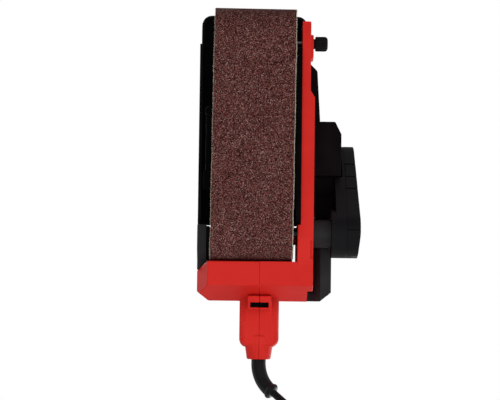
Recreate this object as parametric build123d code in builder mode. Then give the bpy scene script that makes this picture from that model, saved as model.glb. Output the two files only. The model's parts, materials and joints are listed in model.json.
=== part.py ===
from build123d import *
import math
import os

os.makedirs("parts", exist_ok=True)

# Belt sander standing on its belt: X forward, Y to the tool's left, Z up, in millimetres.
# The origin is the middle of the belt's flat underside.

# Fits and clearances
press_fit = 0.02
running_fit = 0.05
slide_gap = 0.2
shell_gap = 0.3
roller_end_gap = 0.4

# Sanding belt and rollers
belt_width = 76.0
half_belt = belt_width / 2
belt_length = 533.0
belt_thickness = 1.2
belt_gap = 0.5
belt_skew = 0.5
roller_radius = 24.3
belt_inner = roller_radius + belt_gap
belt_outer = belt_inner + belt_thickness
axis_height = belt_outer
axle_spacing = (belt_length - math.pi * (belt_inner + belt_outer)) / 2
idler_x = axle_spacing / 2
drive_x = -axle_spacing / 2
idler_half_width_inset = 3.2
idler_half_width = half_belt - idler_half_width_inset
drive_half_width_reach = 0.3
drive_half_width = half_belt + drive_half_width_reach
tyre_thickness = 2.8
roller_bore_radius = 7.0
shaft_radius = 4.0
bearing_radius = 11.0
bearing_width = 7.0

# Platen and main frame
shoe_thickness = 0.8
pad_thickness = 3.3
bed_front = 50.0
bed_rear = -66.0
bed_right_inset = 2.0
bed_right = bed_right_inset - half_belt
bed_top = 46.0
bed_bottom = belt_thickness + shoe_thickness + pad_thickness
bed_web = 5.0
platen_half_width_inset = 2.0
platen_half_width = half_belt - platen_half_width_inset
cheek_inner_reach = 1.8
cheek_inner = half_belt + cheek_inner_reach
cheek_outer_reach = 7.0
cheek_outer = half_belt + cheek_outer_reach
cheek_front = 81.0
cheek_rear = -85.0
cheek_bottom = 4.5
cheek_top = 47.0
cheek_corner = 6.0
platen_screw_radius = 2.0
platen_screw_head = 3.6
platen_screw_length = 11.0
platen_screw_inset = 8.0

# Idler yoke, tension lever and tracking screw
slot_half_width = 15.0
slot_bottom = 18.0
slot_top = 34.0
slot_rear = -14.0
tongue_rear = 8.0
yoke_bar_rear = 60.0
yoke_bar_front = 66.0
yoke_arm_thickness = 3.8
yoke_arm_radius = 9.0
spring_radius = 5.0
spring_wire = 1.6
spring_turns = 5
lever_x = 20.0
lever_y_reach = 3.2
lever_y = -half_belt - lever_y_reach
lever_radius = 4.6
lever_width = 7.0
lever_reach = 64.0
lever_thumb = 9.0
lever_bottom = 15.0
lever_top = 29.0
lug_wall = 4.0
pin_radius = 2.0
tracking_x = 86.5
tracking_screw_radius = 2.0
tracking_knob_radius = 7.0
tracking_knob_length = 11.8
tracking_neck_radius = 5.0
tracking_neck_length = 1.6
knob_flutes = 16
knob_flute_radius = 0.75

# Red housing: left wall, rear bar and handle
wall_front = 105.0
wall_bottom = 8.0
wall_top = 54.0
wall_inner = cheek_outer
wall_inner_rear_reach = 4.0
wall_inner_rear = half_belt + wall_inner_rear_reach
wall_step_x = -86.0
wall_outer_front_reach = 15.0
wall_outer_front = half_belt + wall_outer_front_reach
wall_outer_reach = 19.0
wall_outer = half_belt + wall_outer_reach
wall_flare_front = 40.0
wall_flare_rear = 33.5
wall_skin = 3.0
tracking_pad_front = 94.2
tracking_pad_rear = 70.6
tracking_pad_height = 24.0
tracking_pad_rise = 2.6
bar_front = -120.2
bar_rear = -157.0
bar_bottom = 12.0
bar_facet_x = -142.3
bar_facet_top = 45.0
bar_top = 72.0
bar_right_reach = 13.7
bar_right = -half_belt - bar_right_reach
bar_bevel = 10.6
bar_bevel_front = 8.5
bar_bevel_top = 38.0
bar_notch = 4.7
bar_notch_front = -147.4
ramp_front = -98.0
slit_front = -102.4
slit_rear = -119.4
slit_right_reach = 0.6
slit_right = half_belt + slit_right_reach
slit_width = 3.0
notch_front = -100.8
notch_rear = -116.7
notch_width = 2.6
notch_top = 13.4
seam_y = 7.5
seam_gap = 0.1
handle_half_width = 18.6
handle_round = 7.0
handle_wall = 3.2
cord_height = 50.0
cord_boss_start = -190.0
cord_boss_end = -212.0
cord_boss_radius = 14.6
cord_boss_tip_radius = 11.2
lug_rear = -165.0
lug_front = -152.0
lug_half_width = 11.1
lug_bottom = 27.0
clamp_slot_rear = -162.9
clamp_slot_front = -158.4
clamp_slot_half = 8.6
clamp_slot_depth = 8.0

# Top cover and belt guard
cover_bottom = 54.0
cover_top = 58.0
cover_front = 116.5
cover_nose_half_reach = 12.6
cover_nose_half = half_belt + cover_nose_half_reach
cover_nose_rear = 86.5
cover_corner = 10.0
cover_right_reach = 13.7
cover_right = -half_belt - cover_right_reach
cover_rear = -85.0
cover_skirt_bottom = 32.0
cover_skirt = 3.0
nose_skirt_bottom = 47.0
channel_front = 73.0
channel_knee = 65.0
channel_rear = 16.0
channel_knee_out_reach = 23.0
channel_knee_out = half_belt + channel_knee_out_reach
channel_out_reach = 26.0
channel_out = half_belt + channel_out_reach
channel_top = 78.0
hood_rear = 14.0
hood_front = 106.0
hood_half_width_reach = 6.0
hood_half_width = half_belt + hood_half_width_reach
hood_height = 16.0
hood_taper = 24.0
guard_gap = 0.8
guard_rear = -119.6
guard_inner_reach = 3.0
guard_inner = -half_belt - guard_inner_reach
guard_bottom = 22.0
guard_flange = 8.7
guard_wall = 2.5

# Motor
motor_x = -32.0
motor_radius = 42.0
motor_wall = 3.0
motor_height = cover_top + motor_radius
motor_left_reach = 22.0
motor_left = half_belt + motor_left_reach
motor_right_reach = 2.0
motor_right = -half_belt - motor_right_reach
motor_cap_end_reach = 13.2
motor_cap_end = -half_belt - motor_cap_end_reach
saddle_half = 38.0
saddle_height = 8.0
vent_count = 9
vent_width = 3.2
stator_bore = 22.6
stator_right_inset = 23.0
stator_right = stator_right_inset - half_belt
stator_left_inset = 13.0
stator_left = half_belt - stator_left_inset
armature_radius = 22.0
armature_slots = 12
winding_radius = 19.0
winding_length = 11.0
commutator_radius = 11.0
commutator_right_reach = 0.5
commutator_right = -half_belt - commutator_right_reach
commutator_left_inset = 10.5
commutator_left = commutator_left_inset - half_belt
commutator_bars = 18
brush_thickness = 6.0
brush_width = 8.0
brush_length = 14.0
brush_wall = 1.4
brush_cap_radius = 6.0
brush_cap_proud = 1.4
bracket_thickness = 6.6
bracket_windows = 6
cooling_fan_radius = 35.0
cooling_fan_right_reach = 2.0
cooling_fan_right = half_belt + cooling_fan_right_reach
cooling_fan_left_reach = 14.0
cooling_fan_left = half_belt + cooling_fan_left_reach
fan_blades = 11

# Drive from the motor to the roller
motor_pulley_radius = 8.5
driven_pulley_radius = 17.0
motor_pulley_teeth = 16
pulley_tooth_radius = 0.8
timing_belt_thickness = 2.0
timing_belt_width = 5.4
timing_belt_gap = 0.3
pulley_right_reach = 51.0
pulley_right = half_belt + pulley_right_reach
pulley_length = 6.2
tube_radius = 13.0
tube_right_reach = 4.5
tube_right = half_belt + tube_right_reach
tube_left_reach = 48.0
tube_left = half_belt + tube_left_reach
tube_recess = 0.6
tube_bore = 9.0
shaft_hole = 6.0
backplate_right_reach = 48.0
backplate_right = half_belt + backplate_right_reach
backplate_thickness = 2.4
case_right_reach = 37.8
case_right = half_belt + case_right_reach
case_lip = 2.2
case_web_right_reach = 40.4
case_web_right = half_belt + case_web_right_reach
cover_motor_radius = 28.4
cover_drive_radius = 22.6
drive_cover_wall = 2.6
drive_cover_front_y_reach = 60.5
drive_cover_front_y = half_belt + drive_cover_front_y_reach
drive_cover_rear_y_reach = 62.6
drive_cover_rear_y = half_belt + drive_cover_rear_y_reach
drive_cover_bulge_x = -80.0
drive_cover_groove = 1.0
groove_places = [-23.5, -36.5, -49.0, -90.0]
cover_screw_radius = 1.8
cover_screw_head = 3.4
cover_boss_radius = 4.8
cover_screw_head_height = 2.4
cover_screw_seat_reach = 59.0
cover_screw_seat = half_belt + cover_screw_seat_reach
cover_screw_end_reach = 48.5
cover_screw_end = half_belt + cover_screw_end_reach
cover_screw_shares = [0.40, 0.62]

# Dust path
scroll_left_reach = 48.0
scroll_left = half_belt + scroll_left_reach
scroll_right_reach = 22.4
scroll_right = half_belt + scroll_right_reach
scroll_wall = 2.4
scroll_shoulder_reach = 41.0
scroll_shoulder = half_belt + scroll_shoulder_reach
scroll_crown = 26.0
outlet_corner = -76.0
outlet_corner_bottom = 66.0
outlet_corner_left_reach = 40.0
outlet_corner_left = half_belt + outlet_corner_left_reach
intake_front = 15.2
intake_rear = -37.0
intake_bottom = 46.0
intake_outer_reach = 46.2
intake_outer = half_belt + intake_outer_reach
intake_chamfer = 12.0
dust_fan_radius = 33.0
dust_fan_right_reach = 26.5
dust_fan_right = half_belt + dust_fan_right_reach
dust_fan_left_reach = 40.5
dust_fan_left = half_belt + dust_fan_left_reach
outlet_right_reach = 19.3
outlet_right = half_belt + outlet_right_reach
outlet_left_reach = 37.4
outlet_left = half_belt + outlet_left_reach
outlet_bottom = 42.0
slab_ridge_reach = 27.0
slab_ridge = half_belt + slab_ridge_reach
slab_slope = 4.0
slab_inner_rise = 11.0
outlet_front = -80.0
outlet_rear = -156.6
outlet_top = 108.0
outlet_wall = 2.4
spigot_height = 94.0
spigot_y_reach = 18.0
spigot_y = half_belt + spigot_y_reach
spigot_radius = 19.2
spigot_bore = 16.0
spigot_length = 28.0
spigot_rear = -150.5

# Power cord
boot_radius = 6.9
boot_straight = 4.0
boot_bend = 30.0
boot_turn = 55.0
boot_waist = 6.5
boot_collar = 5.0
boot_collar_radius = 7.2
boot_side = (0, 0.85, -0.53)
cord_diameter = 7.0
cord_stub_end = -168.0
floor_gap = 1.3
coil_centre = (-331.0, 22.0)
coil_heading = -20.0
coil_radius = 56.0
coil_pitch = 7.8
coil_half_turns = 7
coil_tail = 20.0
cord_drop = 16.0
cord_lead = 24.0
cord_bend = (-266.5, 48.5, 16.0)
tie_wall = 1.0
tie_width = 10.0
tie_slack = 0.8
plug_neck_length = 18.0
plug_neck_radius = 5.2
plug_length = 36.0
plug_width = 35.0
plug_height = 24.6
plug_taper = 14.0
plug_root = 16.0
plug_round = 6.0
pin_length = 19.0
pin_diameter = 4.8
pin_spacing = 19.0

# Handle, switch and controls, as outlines in X and Z
handle_outline = [
    (-72, 66), (-72, 80), (-58, 112), (-58, 146), (-84, 150), (-170, 147),
    (-194, 131), (-201.5, 86), (-199.5, 37), (-150, 37), (-118, 66),
]
opening_outline = [
    (-90, 82), (-88, 108), (-98, 116), (-160, 115), (-170, 106), (-174, 86), (-166, 80),
]
handle_corner = 5.0
opening_corner = 4.0
roof_front = -86.4
housing_screw_places = [(-159, 131), (-184, 112), (-191, 68), (-172, 61)]
housing_screw_radius = 1.7
housing_screw_head = 3.2
housing_screw_length = 24.0
housing_screw_head_height = 2.4
screw_boss_radius = 4.4
trigger_front = -92.0
trigger_rear = -122.0
trigger_half_width = 7.0
trigger_bottom = 105.0
trigger_top = 122.0
trigger_hollow = 4.0
trigger_round = 1.5
lock_x = -104.0
lock_z = 133.0
lock_radius = 5.0
lock_proud = 5.0
lock_length = 11.6
dial_x = -88.0
dial_z = 140.5
dial_radius = 11.5
dial_width = 8.0
dial_pin_radius = 1.5
dial_notches = 20
dial_notch_radius = 0.6
switch_front = -125.0
switch_rear = -150.0
switch_bottom = 119.2
switch_top = 141.0
switch_half_width = 9.0
controller_front = -177.6
controller_rear = -193.2
controller_bottom = 82.0
controller_top = 104.0
controller_half_width = 11.0
clamp_front = -177.0
clamp_rear = -184.0
clamp_half_width = 9.0
clamp_top = 57.0
clamp_bottom = 40.4
grip_x = 66.0
grip_base = 20.0
grip_waist = 14.5
grip_head = 23.0
grip_waist_height = 18.0
grip_head_height = 38.0
grip_height = 46.0
grip_pad_height = 4.0
rear_pad_front = -104.0
rear_pad_rear = -166.0
rear_pad_half_width = 10.0
rear_pad_thickness = 1.8


def across(y):
    """The plane across the tool at this distance to its left, drawn as X and Z, facing the right."""
    return Plane(origin=(0, y, 0), x_dir=(1, 0, 0), z_dir=(0, -1, 0))


def endwise(x):
    """The plane square to the tool's length at this X, drawn as Y and Z, facing the front."""
    return Plane(origin=(x, 0, 0), x_dir=(0, 1, 0), z_dir=(1, 0, 0))


# Sanding belt: an endless loop that runs a little askew on its rollers
skew = math.radians(belt_skew)
belt_plane = Plane(
    origin=(0, 0, 0),
    x_dir=(math.cos(skew), math.sin(skew), 0),
    z_dir=(math.sin(skew), -math.cos(skew), 0),
)
with BuildPart() as sanding_belt:
    with BuildSketch(belt_plane):
        with Locations((0, axis_height)):
            SlotCenterToCenter(axle_spacing, 2 * belt_outer)
            SlotCenterToCenter(axle_spacing, 2 * belt_inner, mode=Mode.SUBTRACT)
    extrude(amount=half_belt, both=True)
sanding_belt.part.label = "sanding_belt"
export_step(sanding_belt.part, "parts/sanding_belt.step")

# Platen shoe: a thin steel sheet under the bed that the belt slides on
bed_length = bed_front - bed_rear
bed_middle = (bed_front + bed_rear) / 2
screw_places = [
    (x, y)
    for x in (bed_front - platen_screw_inset, bed_rear + platen_screw_inset)
    for y in (-platen_half_width + 2 * platen_screw_inset, platen_half_width - 2 * platen_screw_inset)
]
with BuildPart() as platen_shoe:
    with BuildSketch(Plane.XY.offset(belt_thickness)):
        with Locations((bed_middle, 0)):
            RectangleRounded(bed_length, 2 * platen_half_width, 3 * shoe_thickness)
        with Locations(*screw_places):
            Circle(platen_screw_head + press_fit, mode=Mode.SUBTRACT)
    extrude(amount=shoe_thickness)
platen_shoe.part.label = "platen_shoe"
export_step(platen_shoe.part, "parts/platen_shoe.step")

# Cork pad between the shoe and the bed
with BuildPart() as platen_pad:
    with BuildSketch(Plane.XY.offset(belt_thickness + shoe_thickness)):
        with Locations((bed_middle, 0)):
            RectangleRounded(bed_length, 2 * platen_half_width, 3 * shoe_thickness)
        with Locations(*screw_places):
            Circle(platen_screw_head + press_fit, mode=Mode.SUBTRACT)
    extrude(amount=pad_thickness)
platen_pad.part.label = "platen_pad"
export_step(platen_pad.part, "parts/platen_pad.step")

# Four pan head screws hold the pad and shoe to the bed
with BuildPart() as platen_screws:
    with BuildSketch(Plane.XY.offset(bed_bottom)):
        with Locations(*screw_places):
            Circle(platen_screw_head)
    extrude(amount=-(pad_thickness + shoe_thickness / 2))
    with BuildSketch(Plane.XY.offset(bed_bottom)):
        with Locations(*screw_places):
            Circle(platen_screw_radius)
    extrude(amount=platen_screw_length)
platen_screws.part.label = "platen_screws"
export_step(platen_screws.part, "parts/platen_screws.step")

# Main frame: cast bed inside the belt loop, with a cheek on its left side
lug_top = lever_top + slide_gap + lug_wall
lug_floor = lever_bottom - slide_gap - lug_wall
with BuildPart() as main_frame:
    with BuildSketch(across(cheek_outer)):
        with Locations(((cheek_front + cheek_rear) / 2, (cheek_bottom + cheek_top) / 2)):
            RectangleRounded(cheek_front - cheek_rear, cheek_top - cheek_bottom, cheek_corner)
    extrude(amount=cheek_outer - cheek_inner)
    with BuildSketch(Plane.XY.offset(bed_bottom)):
        with Locations((bed_middle, (cheek_inner + bed_right) / 2)):
            Rectangle(bed_length, cheek_inner - bed_right)
    extrude(amount=bed_top - bed_bottom)
    # The casting is open on top, with a web round the yoke's slide
    with BuildSketch(Plane.XY.offset(bed_top)):
        pocket_width = cheek_inner - slot_half_width - 3 * bed_web
        pocket_y = slot_half_width + bed_web + pocket_width / 2
        for side in (1, -1):
            width = pocket_width if side > 0 else -bed_right - slot_half_width - 2 * bed_web
            place = pocket_y if side > 0 else -slot_half_width - bed_web - width / 2
            with Locations((bed_middle, place)):
                Rectangle(bed_length - 2 * bed_web, width)
    extrude(amount=-(bed_top - slot_bottom), mode=Mode.SUBTRACT)
    with BuildSketch(endwise(bed_front)):
        with Locations((0, (slot_bottom + slot_top) / 2)):
            Rectangle(2 * slot_half_width, slot_top - slot_bottom)
    extrude(amount=-(bed_front - slot_rear), mode=Mode.SUBTRACT)
    # Ears for the tension lever's pin
    for floor, roof in ((lug_floor, lug_floor + lug_wall), (lug_top - lug_wall, lug_top)):
        with BuildSketch(Plane.XY.offset(floor)):
            with Locations((lever_x, (bed_right + lever_y) / 2)):
                Rectangle(2 * lever_radius, bed_right - lever_y)
            with Locations((lever_x, lever_y)):
                Circle(lever_radius)
        extrude(amount=roof - floor)
    with BuildSketch(Plane.XY.offset(lug_floor)):
        with Locations((lever_x, lever_y)):
            Circle(pin_radius + press_fit)
    extrude(amount=lug_top - lug_floor, mode=Mode.SUBTRACT)
    with BuildSketch(Plane.XY.offset(bed_bottom)):
        with Locations(*screw_places):
            Circle(platen_screw_radius + press_fit)
    extrude(amount=platen_screw_length, mode=Mode.SUBTRACT)
    with BuildSketch(across(cheek_outer)):
        with Locations((drive_x, axis_height)):
            Circle(tube_radius + slide_gap)
    extrude(amount=cheek_outer - cheek_inner, mode=Mode.SUBTRACT)
main_frame.part.label = "main_frame"
export_step(main_frame.part, "parts/main_frame.step")

# Idler yoke: a tongue that slides in the bed, a cross bar and two arms that hold the axle
arm_outer = idler_half_width + roller_end_gap + yoke_arm_thickness
arm_inner = idler_half_width + roller_end_gap
with BuildPart() as idler_yoke:
    with BuildSketch(Plane.XY.offset(slot_bottom + slide_gap)):
        with Locations(((tongue_rear + yoke_bar_rear) / 2, 0)):
            Rectangle(yoke_bar_rear - tongue_rear, 2 * (slot_half_width - slide_gap))
    extrude(amount=slot_top - slot_bottom - 2 * slide_gap)
    with BuildSketch(across(arm_outer)):
        with BuildLine():
            Polyline(
                (idler_x, axis_height + yoke_arm_radius),
                (yoke_bar_rear, axis_height + yoke_arm_radius),
                (yoke_bar_rear, axis_height - yoke_arm_radius),
                (idler_x, axis_height - yoke_arm_radius),
            )
            ThreePointArc(
                (idler_x, axis_height - yoke_arm_radius),
                (idler_x + yoke_arm_radius, axis_height),
                (idler_x, axis_height + yoke_arm_radius),
            )
        make_face()
    extrude(amount=2 * arm_outer)
    with BuildSketch(Plane.XY.offset(axis_height - 2 * yoke_arm_radius)):
        with Locations((yoke_bar_front + roller_radius + yoke_arm_radius, 0)):
            Rectangle(2 * (roller_radius + yoke_arm_radius), 2 * arm_inner)
    extrude(amount=4 * yoke_arm_radius, mode=Mode.SUBTRACT)
    with BuildSketch(across(arm_outer)):
        with Locations((idler_x, axis_height)):
            Circle(shaft_radius + press_fit)
    extrude(amount=2 * arm_outer, mode=Mode.SUBTRACT)
idler_yoke.part.label = "idler_yoke"
export_step(idler_yoke.part, "parts/idler_yoke.step")

# Idler axle, held in the yoke's arms
with BuildPart() as idler_axle:
    with BuildSketch(across(arm_outer)):
        with Locations((idler_x, axis_height)):
            Circle(shaft_radius)
    extrude(amount=2 * arm_outer)
    chamfer(idler_axle.edges().filter_by(GeomType.CIRCLE), shaft_radius / 8)
idler_axle.part.label = "idler_axle"
export_step(idler_axle.part, "parts/idler_axle.step")

# Idler roller, turned from aluminium, with a bearing seat in each end
with BuildPart() as idler_roller:
    with BuildSketch(across(idler_half_width)):
        with Locations((idler_x, axis_height)):
            Circle(roller_radius)
            Circle(roller_bore_radius, mode=Mode.SUBTRACT)
    extrude(amount=2 * idler_half_width)
    for seat in (idler_half_width, -idler_half_width + bearing_width):
        with BuildSketch(across(seat)):
            with Locations((idler_x, axis_height)):
                Circle(bearing_radius + press_fit)
        extrude(amount=bearing_width, mode=Mode.SUBTRACT)
idler_roller.part.label = "idler_roller"
export_step(idler_roller.part, "parts/idler_roller.step")

# Two ball bearings in the idler roller, turning on the axle
with BuildPart() as idler_bearings:
    for seat in (idler_half_width, -idler_half_width + bearing_width):
        with BuildSketch(across(seat)):
            with Locations((idler_x, axis_height)):
                Circle(bearing_radius)
                Circle(shaft_radius + running_fit, mode=Mode.SUBTRACT)
        extrude(amount=bearing_width)
idler_bearings.part.label = "idler_bearings"
export_step(idler_bearings.part, "parts/idler_bearings.step")

# Drive roller: an aluminium core with a rubber tyre bonded round it
core_radius = roller_radius - tyre_thickness
with BuildPart() as drive_roller_core:
    with BuildSketch(across(drive_half_width)):
        with Locations((drive_x, axis_height)):
            Circle(core_radius)
            Circle(shaft_radius + press_fit, mode=Mode.SUBTRACT)
    extrude(amount=2 * drive_half_width)
drive_roller_core.part.label = "drive_roller_core"
export_step(drive_roller_core.part, "parts/drive_roller_core.step")

with BuildPart() as drive_roller_tyre:
    with BuildSketch(across(drive_half_width)):
        with Locations((drive_x, axis_height)):
            Circle(roller_radius)
            Circle(core_radius + press_fit, mode=Mode.SUBTRACT)
    extrude(amount=2 * drive_half_width)
drive_roller_tyre.part.label = "drive_roller_tyre"
export_step(drive_roller_tyre.part, "parts/drive_roller_tyre.step")

# Drive shaft: through the roller, the bearing tube and the driven pulley
with BuildPart() as drive_shaft:
    with BuildSketch(across(pulley_right + pulley_length)):
        with Locations((drive_x, axis_height)):
            Circle(shaft_radius)
    extrude(amount=pulley_right + pulley_length + drive_half_width)
    chamfer(drive_shaft.edges().filter_by(GeomType.CIRCLE), shaft_radius / 8)
drive_shaft.part.label = "drive_shaft"
export_step(drive_shaft.part, "parts/drive_shaft.step")


def bend(start, tangent, end):
    """The arc that leaves start along tangent and reaches end."""
    chord = end - start
    along = chord.normalized()
    outward = (tangent - along * tangent.dot(along)).normalized()
    half_turn = math.radians(tangent.get_angle(chord))
    middle = start + chord / 2 + outward * (chord.length / 2 * math.tan(half_turn / 2))
    return ThreePointArc(start, middle, end)


def half_turn(plane, centre, radius, side, rise):
    """Half a turn from centre + radius * side along local Y, round local -X for side 1, rising by rise."""
    top = math.hypot(radius, rise / 2)
    start = plane.from_local_coords(Vector(0, centre + side * radius, 0))
    middle = plane.from_local_coords(Vector(-side * top, centre, rise / 2))
    end = plane.from_local_coords(Vector(0, centre - side * radius, rise))
    ahead = plane.x_dir * -side
    bend(start, ahead, middle)
    bend(end, ahead, middle)


# Tension spring behind the yoke's tongue: a flat half turn and a rising half turn in each coil
spring_room = tongue_rear - slot_rear - spring_wire - 2 * slide_gap
spring_pitch = spring_room / spring_turns
spring_start = Plane(
    origin=(slot_rear + slide_gap + spring_wire / 2, 0, (slot_bottom + slot_top) / 2),
    x_dir=(0, 1, 0),
    z_dir=(1, 0, 0),
)
with BuildPart() as tension_spring:
    with BuildLine() as spring_path:
        for turn in range(spring_turns):
            lifted = spring_start.offset(turn * spring_pitch)
            half_turn(lifted, 0, spring_radius, 1, 0)
            half_turn(lifted, 0, spring_radius, -1, spring_pitch)
    with BuildSketch(Plane(origin=spring_path.line @ 0, z_dir=spring_path.line % 0)):
        Circle(spring_wire / 2)
    sweep(path=spring_path.line)
tension_spring.part.label = "tension_spring"
export_step(tension_spring.part, "parts/tension_spring.step")
spring_gap = spring_pitch - spring_wire
print(f"tension spring: least gap between its turns {spring_gap:.2f} mm")

# Tension lever, folded back along the bed, on its pin
with BuildPart() as tension_lever:
    with BuildSketch(Plane.XY.offset(lever_bottom)):
        with Locations((lever_x, lever_y)):
            Circle(lever_radius)
        with Locations((lever_x - lever_reach / 2, lever_y)):
            Rectangle(lever_reach, lever_width)
        with Locations((lever_x - lever_reach, lever_y - (lever_thumb - lever_width) / 2)):
            RectangleRounded(2 * lever_thumb, lever_thumb, lever_width / 3)
        with Locations((lever_x, lever_y)):
            Circle(pin_radius + running_fit, mode=Mode.SUBTRACT)
    extrude(amount=lever_top - lever_bottom)
    chamfer(tension_lever.faces().sort_by(Axis.Z)[-1].outer_wire().edges(), lever_radius / 5)
tension_lever.part.label = "tension_lever"
export_step(tension_lever.part, "parts/tension_lever.step")

with BuildPart() as lever_pivot_pin:
    with BuildSketch(Plane.XY.offset(lug_floor)):
        with Locations((lever_x, lever_y)):
            Circle(pin_radius)
    extrude(amount=lug_top - lug_floor)
lever_pivot_pin.part.label = "lever_pivot_pin"
export_step(lever_pivot_pin.part, "parts/lever_pivot_pin.step")

# Tracking screw: its tip bears on the yoke's left arm, and its knob is outside the wall
pad_face = wall_outer_front + tracking_pad_rise
knob_start = pad_face + slide_gap
knob_end = knob_start + tracking_neck_length + tracking_knob_length
with BuildPart() as tracking_screw:
    with BuildSketch(across(knob_end - tracking_knob_length / 4)):
        with Locations((tracking_x, axis_height)):
            Circle(tracking_screw_radius)
    extrude(amount=knob_end - tracking_knob_length / 4 - arm_outer - slide_gap)
    chamfer(tracking_screw.edges().filter_by(GeomType.CIRCLE), tracking_screw_radius / 4)
tracking_screw.part.label = "tracking_screw"
export_step(tracking_screw.part, "parts/tracking_screw.step")

with BuildPart() as tracking_knob:
    with BuildSketch(across(knob_end)):
        with Locations((tracking_x, axis_height)):
            Circle(tracking_knob_radius)
            with PolarLocations(tracking_knob_radius, knob_flutes):
                Circle(knob_flute_radius, mode=Mode.SUBTRACT)
    extrude(amount=tracking_knob_length)
    with BuildSketch(across(knob_end - tracking_knob_length)):
        with Locations((tracking_x, axis_height)):
            Circle(tracking_neck_radius)
    extrude(amount=tracking_neck_length)
    with BuildSketch(across(knob_end - tracking_knob_length / 4)):
        with Locations((tracking_x, axis_height)):
            Circle(tracking_screw_radius + press_fit)
    extrude(amount=knob_end, mode=Mode.SUBTRACT)
tracking_knob.part.label = "tracking_knob"
export_step(tracking_knob.part, "parts/tracking_knob.step")


def prism(outline, plane, depth):
    """A straight prism on a closed outline."""
    with BuildPart() as solid:
        with BuildSketch(plane):
            with BuildLine():
                Polyline(*outline, close=True)
            make_face()
        extrude(amount=depth)
    return solid.part


def bar_half(side, inset):
    """Half of the rear bar with its roof over the drive roller, bevelled at its end, or its hollow."""
    end = wall_outer if side > 0 else bar_right
    if side > 0 and inset:
        end -= bar_notch
    reach = side * (end - seam_y) - inset
    near = seam_y + side * seam_gap / 2
    far = end - side * inset
    profile = [
        (bar_front - inset, bar_bottom + inset),
        (bar_facet_x + inset / 2, bar_bottom + inset),
        (bar_rear + inset, bar_facet_top + inset / 2),
        (bar_rear + inset, bar_top - bar_bevel + inset / 2),
        (bar_rear + bar_bevel, bar_top - inset),
        (roof_front - inset, bar_top - inset),
        (roof_front - inset, cover_bottom + inset),
        (bar_front - inset, cover_bottom + inset),
    ]
    side_view = prism(profile, across(near if side < 0 else near + reach), reach)
    if side > 0:
        plan = [(roof_front, near), (roof_front, far), (bar_rear, far), (bar_rear, near)]
        rear_view = [(near, bar_bottom), (far, bar_bottom), (far, bar_top), (near, bar_top)]
    else:
        plan = [
            (roof_front, near),
            (roof_front, far),
            (bar_front - bar_bevel_front, far),
            (bar_rear + bar_bevel_front, far),
            (bar_rear, far + bar_bevel),
            (bar_rear, near),
        ]
        rear_view = [
            (near, bar_bottom),
            (far + bar_bevel, bar_bottom),
            (far, bar_bevel_top),
            (far, bar_top),
            (near, bar_top),
        ]
    plan_view = prism(plan, Plane.XY.offset(bar_bottom), bar_top - bar_bottom)
    end_view = prism(rear_view, endwise(bar_rear), roof_front - bar_rear)
    return side_view & plan_view & end_view


def handle_half(side):
    """Half of the D handle, rounded along its outer edges, with its hollow."""
    near = seam_y + side * seam_gap / 2
    with BuildPart() as solid:
        with BuildSketch(across(near)) as outline:
            with BuildLine():
                Polyline(*handle_outline, close=True)
            make_face()
            fillet(outline.vertices(), handle_corner)
            with BuildSketch(across(near), mode=Mode.PRIVATE) as gap:
                with BuildLine():
                    Polyline(*opening_outline, close=True)
                make_face()
                fillet(gap.vertices(), opening_corner)
            add(gap.sketch, mode=Mode.SUBTRACT)
        extrude(amount=-side * handle_half_width)
        far_face = solid.faces().filter_by(Axis.Y).sort_by(Axis.Y)[-1 if side > 0 else 0]
        fillet(far_face.edges(), handle_round)
    return solid.part


def handle_hollow(side):
    """The hollow of a handle half, one wall inside its outline."""
    near = seam_y + side * seam_gap / 2
    with BuildPart() as solid:
        with BuildSketch(across(near)):
            with BuildLine():
                Polyline(*handle_outline, close=True)
            make_face()
            offset(amount=-handle_wall, kind=Kind.INTERSECTION)
            with BuildSketch(across(near), mode=Mode.PRIVATE) as gap:
                with BuildLine():
                    Polyline(*opening_outline, close=True)
                make_face()
                offset(amount=handle_wall, kind=Kind.INTERSECTION)
            add(gap.sketch, mode=Mode.SUBTRACT)
        extrude(amount=-side * (handle_half_width - handle_wall))
        edges = solid.faces().filter_by(Axis.Y).sort_by(Axis.Y)[-1 if side > 0 else 0].edges()
        chamfer(edges, handle_round / 2)
        with BuildSketch(across(handle_half_width + seam_y)):
            with Locations((motor_x, motor_height)):
                Circle(motor_radius + shell_gap + handle_wall)
        extrude(amount=2 * handle_half_width, mode=Mode.SUBTRACT)
    return solid.part


bars = {side: bar_half(side, 0) for side in (1, -1)}
hollows = {side: bar_half(side, wall_skin) for side in (1, -1)}
handles = {side: handle_half(side) for side in (1, -1)}
handle_hollows = {side: handle_hollow(side) for side in (1, -1)}


def cord_boss(side):
    """Half of the tapered boss that the cord boot comes out of."""
    with BuildPart() as solid:
        for x, radius in ((cord_boss_start, cord_boss_radius), (cord_boss_end, cord_boss_tip_radius)):
            with BuildSketch(endwise(x)):
                with Locations((seam_y, cord_height)):
                    Circle(radius)
        loft()
        fillet(solid.faces().sort_by(Axis.X)[0].edges(), handle_wall / 2)
        split(bisect_by=Plane((0, seam_y + side * seam_gap / 2, 0), z_dir=(0, side, 0)), keep=Keep.TOP)
    return solid.part


def clamp_lug(side):
    """Half of the lug under the handle, with half of its blind slot for a bench clamp."""
    near = seam_y + side * seam_gap / 2
    with BuildPart() as solid:
        with BuildSketch(Plane.XY.offset(lug_bottom)):
            with Locations(((lug_rear + lug_front) / 2, seam_y)):
                Rectangle(lug_front - lug_rear, 2 * lug_half_width)
        extrude(amount=cord_height - lug_bottom)
        with BuildSketch(Plane.XY.offset(lug_bottom)):
            with Locations(((clamp_slot_rear + clamp_slot_front) / 2, seam_y)):
                Rectangle(clamp_slot_front - clamp_slot_rear, 2 * clamp_slot_half)
        extrude(amount=clamp_slot_depth, mode=Mode.SUBTRACT)
        split(bisect_by=Plane((0, near, 0), z_dir=(0, side, 0)), keep=Keep.TOP)
    return solid.part


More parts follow.
